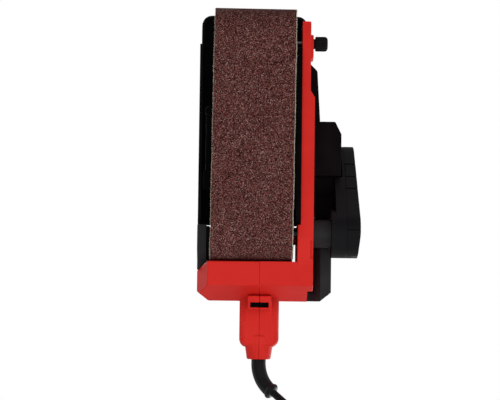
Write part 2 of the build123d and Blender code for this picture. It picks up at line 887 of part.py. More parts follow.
def handle_cuts(side):
    """What is cut out of a handle half: the motor, boot, trigger, dial and screw holes."""
    with BuildPart() as solid:
        with BuildSketch(across(motor_left)):
            with Locations((motor_x, motor_height)):
                Circle(motor_radius + shell_gap)
        extrude(amount=2 * motor_left)
        with BuildSketch(endwise(cord_boss_end - handle_wall)):
            with Locations((seam_y, cord_height)):
                Circle(boot_radius + press_fit)
        extrude(amount=cord_boss_start - cord_boss_end + handle_wall)
        with BuildSketch(across(seam_y + trigger_half_width + shell_gap)):
            with Locations(((trigger_front + trigger_rear) / 2, trigger_bottom)):
                Rectangle(trigger_front - trigger_rear + 2 * shell_gap, 2 * (trigger_top - trigger_bottom))
        extrude(amount=2 * (trigger_half_width + shell_gap))
        with BuildSketch(across(seam_y + dial_width / 2 + shell_gap)):
            with Locations((dial_x, dial_z + dial_radius)):
                Rectangle(2 * (dial_radius + shell_gap), 2 * dial_radius)
        extrude(amount=dial_width + 2 * shell_gap)
        with BuildSketch(across(seam_y + housing_screw_length / 2)):
            with Locations(*housing_screw_places):
                Circle(housing_screw_radius + press_fit)
        extrude(amount=2 * handle_half_width)
        with BuildSketch(across(seam_y - housing_screw_length / 2)):
            with Locations(*housing_screw_places):
                Circle(housing_screw_head + press_fit)
        extrude(amount=handle_half_width)
        if side > 0:
            with BuildSketch(across(seam_y + 2 * handle_half_width)):
                with Locations((lock_x, lock_z)):
                    Circle(lock_radius + running_fit)
            extrude(amount=handle_half_width + handle_wall)
    return solid.part


def screw_bosses(side):
    """Bosses for the clamshell screws, and the dial's pin, across a half of the hollow handle."""
    near = seam_y + side * seam_gap / 2
    with BuildPart() as solid:
        with BuildSketch(across(near)):
            with Locations(*housing_screw_places):
                Circle(screw_boss_radius)
        extrude(amount=-side * (handle_half_width - handle_wall / 2))
        with BuildSketch(across(seam_y + side * (dial_width / 2 - dial_pin_radius))):
            with Locations((dial_x, dial_z)):
                Circle(dial_pin_radius)
        extrude(amount=-side * (handle_half_width - handle_wall / 2 - dial_width / 2 + dial_pin_radius))
    return solid.part


# Left housing: the red half shell with the side wall, half of the rear bar and half of the handle
pocket_front = tracking_pad_rear - wall_skin
pocket_rear = drive_x + tube_radius + wall_skin
with BuildPart() as left_housing:
    with BuildSketch(Plane.XY.offset(wall_bottom)):
        with BuildLine():
            Polyline(
                (wall_front, wall_inner),
                (wall_front, wall_outer_front),
                (wall_flare_front, wall_outer_front),
                (wall_flare_rear, wall_outer),
                (bar_front - wall_skin, wall_outer),
                (bar_front - wall_skin, wall_inner_rear),
                (wall_step_x, wall_inner_rear),
                (wall_step_x, wall_inner),
                close=True,
            )
        make_face()
    extrude(amount=wall_top - wall_bottom)
    # Long pocket that makes the wall a channel, open on top under the cover
    with BuildSketch(Plane.XY.offset(wall_top)):
        with Locations(((pocket_front + pocket_rear) / 2, (wall_inner + wall_outer_front) / 2)):
            Rectangle(pocket_front - pocket_rear, wall_outer_front - wall_inner - 2 * wall_skin)
    extrude(amount=-(wall_top - wall_bottom - wall_skin), mode=Mode.SUBTRACT)
    with BuildSketch(across(pad_face)):
        with Locations(((tracking_pad_front + tracking_pad_rear) / 2, axis_height)):
            RectangleRounded(tracking_pad_front - tracking_pad_rear, tracking_pad_height, cheek_corner)
    extrude(amount=tracking_pad_rise + wall_skin)
    add([bars[1], handles[1]])
    add([hollows[1], handle_hollows[1]], mode=Mode.SUBTRACT)
    add([cord_boss(1), clamp_lug(1), screw_bosses(1)])
    add(handle_cuts(1), mode=Mode.SUBTRACT)
    with BuildSketch(across(wall_outer)):
        with Locations((drive_x, axis_height)):
            Circle(tube_radius + press_fit)
    extrude(amount=wall_outer - wall_inner_rear, mode=Mode.SUBTRACT)
    with BuildSketch(across(pad_face)):
        with Locations((tracking_x, axis_height)):
            Circle(tracking_screw_radius + running_fit)
    extrude(amount=pad_face - wall_inner, mode=Mode.SUBTRACT)
    # The wall's underside runs up to the bar, the bar's rear corner makes room for the dust duct,
    # and a slit in the roof shows daylight beside the belt
    with BuildSketch(across(wall_outer)):
        with BuildLine():
            Polyline(
                (ramp_front, wall_bottom),
                (bar_front - wall_skin, wall_bottom),
                (bar_front - wall_skin, bar_bottom),
                close=True,
            )
        make_face()
    extrude(amount=wall_outer - wall_inner_rear, mode=Mode.SUBTRACT)
    with BuildSketch(Plane.XY.offset(bar_bottom)):
        with Locations(((bar_rear + bar_notch_front) / 2, wall_outer - bar_notch / 2)):
            Rectangle(bar_notch_front - bar_rear, bar_notch)
        with Locations(((slit_front + slit_rear) / 2, slit_right + slit_width / 2)):
            Rectangle(slit_front - slit_rear, slit_width)
    extrude(amount=bar_top - bar_bottom, mode=Mode.SUBTRACT)
    # Shallow notch along the lower left edge of the wall, under the bearing tube
    with BuildSketch(Plane.XY.offset(wall_bottom)):
        with Locations(((notch_front + notch_rear) / 2, wall_outer - notch_width / 2)):
            Rectangle(notch_front - notch_rear, notch_width)
    extrude(amount=notch_top - wall_bottom, mode=Mode.SUBTRACT)
left_housing.part.label = "left_housing"
export_step(left_housing.part, "parts/left_housing.step")

# Right housing: the other half shell, with the bevelled end of the bar
corner_cut = prism(
    [
        (bar_front, bar_right + bar_bevel),
        (bar_front, bar_right),
        (bar_front - bar_bevel_front, bar_right),
    ],
    Plane.XY.offset(bar_bottom),
    cover_bottom - bar_bottom,
)
with BuildPart() as right_housing:
    add([bars[-1], handles[-1]])
    add(corner_cut, mode=Mode.SUBTRACT)
    add([hollows[-1], handle_hollows[-1]], mode=Mode.SUBTRACT)
    add([cord_boss(-1), clamp_lug(-1), screw_bosses(-1)])
    add(handle_cuts(-1), mode=Mode.SUBTRACT)
right_housing.part.label = "right_housing"
export_step(right_housing.part, "parts/right_housing.step")

# Top cover: black hood over the belt, with a nose, a right skirt and a dust channel on the left
nose_plan = [
    (cover_nose_rear, -cover_nose_half),
    (cover_front, -cover_nose_half),
    (cover_front, cover_nose_half),
    (cover_nose_rear, cover_nose_half),
]
with BuildPart() as top_cover:
    with BuildSketch(Plane.XY.offset(cover_bottom)) as cover_plan:
        with BuildLine():
            Polyline(
                *nose_plan,
                (channel_front, cover_nose_half),
                (channel_front, wall_outer_front),
                (channel_knee, channel_knee_out),
                (channel_rear, channel_out),
                (channel_rear, wall_outer),
                (cover_rear, wall_outer),
                (cover_rear, cover_right),
                (cover_nose_rear, cover_right),
                close=True,
            )
        make_face()
        fillet(cover_plan.vertices().group_by(Axis.X)[-1], cover_corner)
    extrude(amount=cover_top - cover_bottom)
    with BuildSketch(Plane.XY.offset(cover_skirt_bottom)):
        with Locations(((cover_rear + cover_nose_rear) / 2, cover_right + cover_skirt / 2)):
            Rectangle(cover_nose_rear - cover_rear, cover_skirt)
    extrude(amount=cover_bottom - cover_skirt_bottom)
    with BuildSketch(Plane.XY.offset(nose_skirt_bottom)) as nose_ring:
        with BuildLine():
            Polyline(*nose_plan, close=True)
        make_face()
        fillet(nose_ring.vertices().group_by(Axis.X)[-1], cover_corner)
        offset(amount=-cover_skirt, mode=Mode.SUBTRACT)
        with Locations((wall_front + shell_gap - cover_front / 2, cover_nose_half)):
            Rectangle(cover_front, 2 * (cover_nose_half - wall_inner) + cover_skirt, mode=Mode.SUBTRACT)
        with Locations((cover_nose_rear, 0)):
            Rectangle(3 * cover_skirt, 2 * wall_inner, mode=Mode.SUBTRACT)
    extrude(amount=cover_bottom - nose_skirt_bottom)
    with BuildSketch(Plane.XY.offset(cover_top)):
        with BuildLine():
            Polyline(
                (channel_front, cover_nose_half),
                (channel_front, wall_outer_front),
                (channel_knee, channel_knee_out),
                (channel_rear, channel_out),
                (channel_rear, cover_nose_half),
                close=True,
            )
        make_face()
    extrude(amount=channel_top - cover_top, taper=hood_taper / 4)
    hood_middle = (hood_front + hood_rear) / 2
    with BuildSketch(Plane.XY.offset(cover_top)):
        with Locations((hood_middle, 0)):
            RectangleRounded(hood_front - hood_rear, 2 * hood_half_width, cover_corner)
    extrude(amount=hood_height, taper=hood_taper)
    with BuildSketch(Plane.XY.offset(cover_bottom)):
        with Locations((hood_middle, 0)):
            Rectangle(hood_front - hood_rear - 2 * hood_height, 2 * (hood_half_width - hood_height))
    extrude(amount=hood_height, mode=Mode.SUBTRACT)
top_cover.part.label = "top_cover"
export_step(top_cover.part, "parts/top_cover.step")

# Rear belt guard on the right, under the roof of the red housing
guard_front = cover_rear - guard_gap
corner_slope = bar_bevel / bar_bevel_front
corner_depth = bar_bevel + (guard_rear - bar_front) * corner_slope - shell_gap * math.hypot(1, corner_slope)
with BuildPart() as rear_guard:
    with BuildSketch(across(cover_right + cover_skirt)):
        with BuildLine():
            Polyline(
                (guard_front, cover_bottom),
                (guard_front, guard_bottom),
                (guard_rear + bar_bevel, guard_bottom),
                (guard_rear, guard_bottom + bar_bevel),
                (guard_rear, cover_bottom),
                close=True,
            )
        make_face()
    extrude(amount=cover_skirt)
    with BuildSketch(Plane.XY.offset(cover_bottom)):
        with Locations(((guard_front + guard_rear) / 2, (cover_right + guard_inner) / 2)):
            Rectangle(guard_front - guard_rear, guard_inner - cover_right)
    extrude(amount=-cover_skirt / 2)
    with BuildSketch(across(cover_right + guard_flange)):
        with BuildLine():
            Polyline(
                (guard_front, guard_bottom + guard_wall),
                (guard_front, guard_bottom),
                (guard_rear + bar_bevel, guard_bottom),
                (guard_rear, guard_bottom + bar_bevel),
                (guard_rear, guard_bottom + bar_bevel + guard_wall),
                (guard_rear + bar_bevel, guard_bottom + guard_wall),
                close=True,
            )
        make_face()
    extrude(amount=guard_flange)
    with BuildSketch(Plane.XY.offset(guard_bottom + bar_bevel)):
        with BuildLine():
            Polyline(
                (guard_rear, cover_right),
                (guard_rear - corner_depth / corner_slope, cover_right),
                (guard_rear, cover_right + corner_depth),
                close=True,
            )
        make_face()
    extrude(amount=cover_bottom - guard_bottom - bar_bevel)
rear_guard.part.label = "rear_guard"
export_step(rear_guard.part, "parts/rear_guard.step")

# Motor housing: a barrel across the tool on a saddle, with the brush caps' holes
brush_y = (commutator_left + commutator_right) / 2
motor_bore = motor_radius - motor_wall
with BuildPart() as motor_housing:
    with BuildSketch(across(motor_left)):
        with Locations((motor_x, motor_height)):
            Circle(motor_radius)
        with Locations((motor_x, cover_top + saddle_height / 2)):
            Rectangle(2 * saddle_half, saddle_height)
        with Locations((motor_x, motor_height)):
            Circle(motor_bore, mode=Mode.SUBTRACT)
    extrude(amount=motor_left - motor_right)
    with BuildSketch(endwise(motor_x - 2 * motor_radius)):
        with Locations((brush_y, motor_height)):
            Circle(brush_cap_radius + press_fit)
    extrude(amount=4 * motor_radius, mode=Mode.SUBTRACT)
motor_housing.part.label = "motor_housing"
export_step(motor_housing.part, "parts/motor_housing.step")

# Motor end cap on the right, with cooling vents and a bearing seat
cap_seat = motor_cap_end + motor_wall
with BuildPart() as motor_end_cap:
    with BuildSketch(across(motor_right)):
        with Locations((motor_x, motor_height)):
            Circle(motor_radius)
    extrude(amount=motor_right - motor_cap_end)
    fillet(motor_end_cap.faces().sort_by(Axis.Y)[0].edges(), 2 * motor_wall)
    with BuildSketch(across(motor_right)):
        with Locations((motor_x, motor_height)):
            Circle(motor_bore - motor_wall)
            Circle(bearing_radius + motor_wall, mode=Mode.SUBTRACT)
    extrude(amount=motor_right - cap_seat, mode=Mode.SUBTRACT)
    with BuildSketch(across(motor_right)):
        with Locations((motor_x, motor_height)):
            Circle(bearing_radius + press_fit)
    extrude(amount=motor_right - cap_seat, mode=Mode.SUBTRACT)
    vent_span = vent_count * 2 * vent_width
    with BuildSketch(across(cap_seat)):
        for row in range(vent_count):
            height = motor_height - vent_span / 2 + (2 * row + 1) * vent_width
            half = math.sqrt((motor_bore - 2 * motor_wall) ** 2 - (height - motor_height) ** 2)
            with Locations((motor_x, height)):
                SlotOverall(2 * half, vent_width)
        with Locations((motor_x, motor_height)):
            Circle(bearing_radius + 2 * motor_wall, mode=Mode.SUBTRACT)
    extrude(amount=motor_wall, mode=Mode.SUBTRACT)
motor_end_cap.part.label = "motor_end_cap"
export_step(motor_end_cap.part, "parts/motor_end_cap.step")

# Stator: laminated ring with a slot above and below the bore for its two field coils
coil_half = 15.0
coil_depth = 30.0
stator_radius = motor_bore - press_fit
with BuildPart() as stator_stack:
    with BuildSketch(across(stator_left)):
        with Locations((motor_x, motor_height)):
            Circle(stator_radius)
            Circle(stator_bore, mode=Mode.SUBTRACT)
            Rectangle(2 * coil_half, 2 * coil_depth, mode=Mode.SUBTRACT)
    extrude(amount=stator_left - stator_right)
stator_stack.part.label = "stator_stack"
export_step(stator_stack.part, "parts/stator_stack.step")

with BuildPart() as stator_coils:
    with BuildSketch(across(stator_left + winding_length / 2)):
        for side in (1, -1):
            place = motor_height + side * (stator_bore + coil_depth) / 2
            with Locations((motor_x, place)):
                Rectangle(2 * (coil_half - slide_gap), coil_depth - stator_bore - 2 * slide_gap)
    extrude(amount=stator_left - stator_right + winding_length)
stator_coils.part.label = "stator_coils"
export_step(stator_coils.part, "parts/stator_coils.step")

# Armature on the motor axis: shaft, stack, windings and commutator
armature_right = cap_seat + slide_gap
armature_left = pulley_right + pulley_length
with BuildPart() as armature_shaft:
    with BuildSketch(across(armature_left)):
        with Locations((motor_x, motor_height)):
            Circle(shaft_radius)
    extrude(amount=armature_left - armature_right)
    chamfer(armature_shaft.edges().filter_by(GeomType.CIRCLE), shaft_radius / 8)
armature_shaft.part.label = "armature_shaft"
export_step(armature_shaft.part, "parts/armature_shaft.step")

with BuildPart() as armature_stack:
    with BuildSketch(across(stator_left)):
        with Locations((motor_x, motor_height)):
            Circle(armature_radius)
            Circle(shaft_radius + press_fit, mode=Mode.SUBTRACT)
            with PolarLocations(armature_radius, armature_slots):
                SlotOverall(winding_length, vent_width, mode=Mode.SUBTRACT)
    extrude(amount=stator_left - stator_right)
armature_stack.part.label = "armature_stack"
export_step(armature_stack.part, "parts/armature_stack.step")

with BuildPart() as armature_windings:
    for end in (stator_left + winding_length, stator_right):
        with BuildSketch(across(end)):
            with Locations((motor_x, motor_height)):
                Circle(winding_radius)
                Circle(shaft_radius + press_fit, mode=Mode.SUBTRACT)
        extrude(amount=winding_length)
    rims = armature_windings.edges().filter_by(GeomType.CIRCLE).group_by(SortBy.RADIUS)[-1]
    fillet(rims, winding_length / 4)
armature_windings.part.label = "armature_windings"
export_step(armature_windings.part, "parts/armature_windings.step")

with BuildPart() as commutator:
    with BuildSketch(across(commutator_left)):
        with Locations((motor_x, motor_height)):
            Circle(commutator_radius)
            Circle(shaft_radius + press_fit, mode=Mode.SUBTRACT)
            with PolarLocations(commutator_radius, commutator_bars):
                Rectangle(2 * brush_wall, brush_wall / 3, mode=Mode.SUBTRACT)
    extrude(amount=commutator_left - commutator_right)
commutator.part.label = "commutator"
export_step(commutator.part, "parts/commutator.step")

# Carbon brushes in brass holders, with screw caps in the barrel
brush_start = commutator_radius + shell_gap
holder_end = motor_bore - 2 * shell_gap
with BuildPart() as carbon_brushes:
    for side in (1, -1):
        with BuildSketch(endwise(motor_x + side * brush_start)):
            with Locations((brush_y, motor_height)):
                Rectangle(brush_width, brush_thickness)
        extrude(amount=side * brush_length)
carbon_brushes.part.label = "carbon_brushes"
export_step(carbon_brushes.part, "parts/carbon_brushes.step")

with BuildPart() as brush_holders:
    for side in (1, -1):
        with BuildSketch(endwise(motor_x + side * (brush_start + brush_wall))):
            with Locations((brush_y, motor_height)):
                Rectangle(brush_width + 2 * brush_wall, brush_thickness + 2 * brush_wall)
                Rectangle(brush_width + press_fit, brush_thickness + press_fit, mode=Mode.SUBTRACT)
        extrude(amount=side * (holder_end - brush_start - brush_wall))
brush_holders.part.label = "brush_holders"
export_step(brush_holders.part, "parts/brush_holders.step")

with BuildPart() as brush_caps:
    for side in (1, -1):
        with BuildSketch(endwise(motor_x + side * holder_end)):
            with Locations((brush_y, motor_height)):
                Circle(brush_cap_radius)
        extrude(amount=side * (motor_radius + brush_cap_proud - holder_end))
        with BuildSketch(endwise(motor_x + side * (motor_radius + brush_cap_proud))):
            with Locations((brush_y, motor_height)):
                Rectangle(2 * brush_cap_radius, brush_wall)
        extrude(amount=-side * brush_wall, mode=Mode.SUBTRACT)
brush_caps.part.label = "brush_caps"
export_step(brush_caps.part, "parts/brush_caps.step")

# Four alike ball bearings: two on the armature, in the end cap and the bracket, two on the drive shaft
bracket_left = motor_left
with BuildPart() as shaft_bearings:
    for left in (bracket_left, cap_seat + bearing_width):
        with BuildSketch(across(left)):
            with Locations((motor_x, motor_height)):
                Circle(bearing_radius)
                Circle(shaft_radius + running_fit, mode=Mode.SUBTRACT)
        extrude(amount=bearing_width)
    for left in (tube_left - tube_recess, tube_right + tube_recess + bearing_width):
        with BuildSketch(across(left)):
            with Locations((drive_x, axis_height)):
                Circle(bearing_radius)
                Circle(shaft_radius + running_fit, mode=Mode.SUBTRACT)
        extrude(amount=bearing_width)
shaft_bearings.part.label = "shaft_bearings"
export_step(shaft_bearings.part, "parts/shaft_bearings.step")

with BuildPart() as bearing_bracket:
    with BuildSketch(across(bracket_left)):
        with Locations((motor_x, motor_height)):
            Circle(stator_radius)
            Circle(bearing_radius + press_fit, mode=Mode.SUBTRACT)
            with PolarLocations((motor_bore + bearing_radius) / 2, bracket_windows):
                Circle((motor_bore - bearing_radius) / 4, mode=Mode.SUBTRACT)
    extrude(amount=bracket_thickness)
bearing_bracket.part.label = "bearing_bracket"
export_step(bearing_bracket.part, "parts/bearing_bracket.step")


def fan_wheel(right, left, radius):
    """A fan on the motor shaft: hub, back disc and straight blades."""
    with BuildPart() as wheel:
        with BuildSketch(across(left)):
            with Locations((motor_x, motor_height)):
                Circle(2 * shaft_radius)
        extrude(amount=left - right)
        with BuildSketch(across(right + scroll_wall)):
            with Locations((motor_x, motor_height)):
                Circle(radius)
        extrude(amount=scroll_wall)
        with BuildSketch(across(left)):
            with Locations((motor_x, motor_height)):
                with PolarLocations((radius + shaft_radius) / 2, fan_blades):
                    Rectangle(radius - 2 * shaft_radius, scroll_wall)
        extrude(amount=left - right)
        with BuildSketch(across(left)):
            with Locations((motor_x, motor_height)):
                Circle(shaft_radius + press_fit)
        extrude(amount=left - right, mode=Mode.SUBTRACT)
    return wheel.part


with BuildPart() as cooling_fan:
    add(fan_wheel(cooling_fan_right, cooling_fan_left, cooling_fan_radius))
cooling_fan.part.label = "cooling_fan"
export_step(cooling_fan.part, "parts/cooling_fan.step")

with BuildPart() as dust_fan:
    add(fan_wheel(dust_fan_right, dust_fan_left, dust_fan_radius))
dust_fan.part.label = "dust_fan"
export_step(dust_fan.part, "parts/dust_fan.step")

# Dust fan scroll on the left of the motor: a bell, with the intake block in front and an outlet corner behind
motor_axis_plane = Plane(origin=(motor_x, 0, motor_height), x_dir=(1, 0, 0), z_dir=(0, 0, 1))
motor_axis = Axis((motor_x, 0, motor_height), (0, 1, 0))
with BuildPart() as fan_scroll:
    with BuildSketch(motor_axis_plane):
        with BuildLine():
            Polyline(
                (0, scroll_right),
                (motor_radius, scroll_right),
                (motor_radius, scroll_shoulder),
                (scroll_crown, scroll_left),
                (0, scroll_left),
                close=True,
            )
        make_face()
    revolve(axis=motor_axis)
    for inner, top in ((outlet_right, cover_top - shell_gap), (scroll_right, motor_height)):
        with BuildSketch(Plane.XY.offset(intake_bottom)):
            with BuildLine():
                Polyline(
                    (intake_rear, inner),
                    (intake_front, inner),
                    (intake_front, intake_outer - intake_chamfer / 2),
                    (intake_front - intake_chamfer, intake_outer),
                    (intake_rear, intake_outer),
                    close=True,
                )
            make_face()
        extrude(amount=top - intake_bottom)
    corner_z = (outlet_corner_bottom + outlet_top) / 2
    with BuildSketch(across(outlet_corner_left)):
        with Locations(((outlet_corner + motor_x) / 2, corner_z)):
            Rectangle(motor_x - outlet_corner, outlet_top - outlet_corner_bottom)
    extrude(amount=outlet_corner_left - scroll_right)
    with BuildSketch(motor_axis_plane):
        with BuildLine():
            Polyline(
                (0, scroll_right),
                (motor_radius - scroll_wall, scroll_right),
                (motor_radius - scroll_wall, scroll_shoulder - scroll_wall / 2),
                (scroll_crown - scroll_wall / 2, scroll_left - scroll_wall),
                (0, scroll_left - scroll_wall),
                close=True,
            )
        make_face()
    revolve(axis=motor_axis, mode=Mode.SUBTRACT)
    with BuildSketch(Plane.XY.offset(intake_bottom + scroll_wall)):
        with Locations(((intake_rear + intake_front) / 2, (scroll_right + intake_outer) / 2)):
            Rectangle(
                intake_front - intake_rear - 2 * scroll_wall,
                intake_outer - scroll_right - intake_chamfer,
            )
    extrude(amount=motor_height - intake_bottom - 2 * scroll_wall, mode=Mode.SUBTRACT)
    with BuildSketch(across(outlet_corner_left - scroll_wall)):
        with Locations(((outlet_corner + motor_x) / 2, corner_z)):
            Rectangle(motor_x - outlet_corner, outlet_top - outlet_corner_bottom - 2 * scroll_wall)
    extrude(amount=outlet_corner_left - scroll_right - 2 * scroll_wall, mode=Mode.SUBTRACT)
    with BuildSketch(across(scroll_left)):
        with Locations((motor_x, motor_height)):
            Circle(shaft_hole)
    extrude(amount=scroll_wall, mode=Mode.SUBTRACT)
fan_scroll.part.label = "fan_scroll"
export_step(fan_scroll.part, "parts/fan_scroll.step")

# Dust outlet: a slab along the left of the rear bar, with a round port that faces the rear
with BuildPart() as dust_outlet:
    slab_plan = [
        (outlet_front, outlet_right),
        (outlet_front, outlet_right + bar_bevel / 2),
        (bar_front + 2 * bar_bevel, outlet_right + bar_bevel / 2 + 1),
        (bar_front + bar_bevel, outlet_left),
        (outlet_rear + bar_bevel_front, outlet_left),
        (outlet_rear, outlet_left - bar_bevel),
        (outlet_rear, outlet_right - bar_notch),
        (bar_notch_front - shell_gap, outlet_right - bar_notch),
        (bar_notch_front - shell_gap, outlet_right),
    ]
    duct_bottom = bar_top + shell_gap
    with BuildSketch(Plane.XY.offset(outlet_bottom)):
        with BuildLine():
            Polyline(*slab_plan, close=True)
        make_face()
    extrude(amount=duct_bottom - outlet_bottom)
    with BuildSketch(Plane.XY.offset(outlet_bottom + slab_inner_rise + outlet_wall)):
        with BuildLine():
            Polyline(*slab_plan, close=True)
        make_face()
        offset(amount=-outlet_wall, kind=Kind.INTERSECTION)
    extrude(amount=duct_bottom - outlet_bottom - slab_inner_rise - 2 * outlet_wall, mode=Mode.SUBTRACT)
    # The underside rises to both sides, from a ridge along its middle
    with BuildSketch(endwise(outlet_rear)):
        with BuildLine():
            Polyline(
                (slab_ridge, outlet_bottom),
                (outlet_left, outlet_bottom + slab_slope),
                (outlet_left, outlet_bottom),
                close=True,
            )
        make_face()
        with BuildLine():
            Polyline(
                (slab_ridge, outlet_bottom),
                (outlet_right, outlet_bottom + slab_inner_rise),
                (outlet_right - bar_notch, outlet_bottom + slab_inner_rise),
                (outlet_right - bar_notch, outlet_bottom),
                close=True,
            )
        make_face()
    extrude(amount=outlet_front - outlet_rear, mode=Mode.SUBTRACT)
    duct_front = outlet_corner - shell_gap
    bore_end = spigot_rear + spigot_length - outlet_wall
    duct_middle = (scroll_right + outlet_left) / 2
    with BuildSketch(endwise(outlet_rear + bar_bevel_front)):
        with Locations((duct_middle, (duct_bottom + outlet_top) / 2)):
            RectangleRounded(outlet_left - scroll_right, outlet_top - duct_bottom, outlet_wall)
    extrude(amount=duct_front - outlet_rear - bar_bevel_front)
    with BuildSketch(endwise(spigot_rear)):
        with Locations((spigot_y, spigot_height)):
            Circle(spigot_radius)
    extrude(amount=spigot_length)
    with BuildSketch(endwise(spigot_rear)):
        with Locations((spigot_y, spigot_height)):
            Circle(spigot_bore)
    extrude(amount=bore_end - spigot_rear, mode=Mode.SUBTRACT)
    with BuildSketch(endwise(duct_front)):
        with Locations((duct_middle, (duct_bottom + outlet_top) / 2)):
            Rectangle(
                outlet_left - scroll_right - 2 * outlet_wall,
                outlet_top - duct_bottom - 2 * outlet_wall,
            )
    extrude(amount=bore_end - duct_front, mode=Mode.SUBTRACT)
dust_outlet.part.label = "dust_outlet"
export_step(dust_outlet.part, "parts/dust_outlet.step")

# Bearing tube of the drive shaft, between the housing wall and the drive cover
with BuildPart() as bearing_tube:
    with BuildSketch(across(tube_left)):
        with Locations((drive_x, axis_height)):
            Circle(tube_radius)
            Circle(tube_bore, mode=Mode.SUBTRACT)
    extrude(amount=tube_left - tube_right)
    for left in (tube_left, tube_right + tube_recess + bearing_width):
        with BuildSketch(across(left)):
            with Locations((drive_x, axis_height)):
                Circle(bearing_radius + press_fit)
        extrude(amount=bearing_width + tube_recess, mode=Mode.SUBTRACT)
bearing_tube.part.label = "bearing_tube"
export_step(bearing_tube.part, "parts/bearing_tube.step")

# Toothed pulleys and the timing belt round them
with BuildPart() as motor_pulley:
    with BuildSketch(across(pulley_right + pulley_length)):
        with Locations((motor_x, motor_height)):
            Circle(motor_pulley_radius)
            Circle(shaft_radius + press_fit, mode=Mode.SUBTRACT)
            with PolarLocations(motor_pulley_radius, motor_pulley_teeth):
                Circle(pulley_tooth_radius, mode=Mode.SUBTRACT)
    extrude(amount=pulley_length)
motor_pulley.part.label = "motor_pulley"
export_step(motor_pulley.part, "parts/motor_pulley.step")

driven_pulley_teeth = round(motor_pulley_teeth * driven_pulley_radius / motor_pulley_radius)
with BuildPart() as driven_pulley:
    with BuildSketch(across(pulley_right + pulley_length)):
        with Locations((drive_x, axis_height)):
            Circle(driven_pulley_radius)
            Circle(shaft_radius + press_fit, mode=Mode.SUBTRACT)
            with PolarLocations(driven_pulley_radius, driven_pulley_teeth):
                Circle(pulley_tooth_radius, mode=Mode.SUBTRACT)
    extrude(amount=pulley_length)
driven_pulley.part.label = "driven_pulley"
export_step(driven_pulley.part, "parts/driven_pulley.step")


def pulley_loop(plane, motor_end, drive_end):
    """The outline stretched round a circle on the motor axis and one on the drive axis."""
    with BuildSketch(plane) as loop:
        with Locations((motor_x, motor_height)):
            Circle(motor_end)
        with Locations((drive_x, axis_height)):
            Circle(drive_end)
        make_hull()
    return loop.sketch


timing_belt_left = pulley_right + (pulley_length + timing_belt_width) / 2
with BuildPart() as timing_belt:
    belt_side = across(timing_belt_left)
    loop_gap = timing_belt_gap + timing_belt_thickness
    extrude(
        pulley_loop(belt_side, motor_pulley_radius + loop_gap, driven_pulley_radius + loop_gap),
        amount=timing_belt_width,
    )
    extrude(
        pulley_loop(belt_side, motor_pulley_radius + timing_belt_gap, driven_pulley_radius + timing_belt_gap),
        amount=timing_belt_width,
        mode=Mode.SUBTRACT,
    )
timing_belt.part.label = "timing_belt"
export_step(timing_belt.part, "parts/timing_belt.step")

# Backplate of the drive, and the cover over the pulleys with two screws inside the belt loop
backplate_left = backplate_right + backplate_thickness
cover_screw_places = [
    (motor_x + share * (drive_x - motor_x), motor_height + share * (axis_height - motor_height))
    for share in cover_screw_shares
]
with BuildPart() as drive_backplate:
    extrude(
        pulley_loop(across(backplate_left), cover_motor_radius, cover_drive_radius),
        amount=backplate_left - case_web_right,
    )
    # Behind the plate only the lower end is deep: it makes room for the fan scroll and its intake
    with BuildSketch(across(backplate_right)):
        with Locations((motor_x, motor_height)):
            Circle(motor_radius + shell_gap)
        with Locations((intake_rear - shell_gap + motor_radius, motor_height)):
            Rectangle(2 * motor_radius, 2 * motor_height)
    extrude(amount=backplate_right - case_web_right, mode=Mode.SUBTRACT)
    with BuildSketch(across(case_web_right)):
        with Locations((drive_x, axis_height)):
            Circle(cover_drive_radius)
    extrude(amount=case_web_right - case_right)
    # A lip round the bearing tube, cut off flat under the dust outlet
    with BuildSketch(across(case_right)):
        with Locations((drive_x, axis_height)):
            Circle(cover_drive_radius)
        with Locations((drive_x, outlet_bottom - shell_gap + cover_drive_radius)):
            Rectangle(2 * cover_drive_radius, 2 * cover_drive_radius, mode=Mode.SUBTRACT)
    extrude(amount=case_lip)
    with BuildSketch(across(backplate_right)):
        with Locations((drive_x, axis_height)):
            Circle(tube_radius + slide_gap)
    extrude(amount=backplate_right - case_right + case_lip, mode=Mode.SUBTRACT)
    with BuildSketch(across(backplate_left)):
        with Locations((motor_x, motor_height), (drive_x, axis_height)):
            Circle(shaft_hole)
        with Locations(*cover_screw_places):
            Circle(cover_screw_radius + press_fit)
    extrude(amount=backplate_thickness, mode=Mode.SUBTRACT)
drive_backplate.part.label = "drive_backplate"
export_step(drive_backplate.part, "parts/drive_backplate.step")


def groove_cuts():
    """Short grooves across the rim of the drive cover."""
    rim = across(drive_cover_rear_y)
    depth = drive_cover_rear_y - backplate_right - backplate_thickness
    with BuildPart() as cuts:
        extrude(pulley_loop(rim, cover_motor_radius, cover_drive_radius), amount=depth)
        extrude(
            pulley_loop(rim, cover_motor_radius - drive_cover_groove, cover_drive_radius - drive_cover_groove),
            amount=depth,
            mode=Mode.SUBTRACT,
        )
        with BuildSketch(rim):
            with Locations(*((x, motor_height) for x in groove_places)):
                Rectangle(drive_cover_groove, 2 * motor_height)
        extrude(amount=depth, mode=Mode.INTERSECT)
    return cuts.part


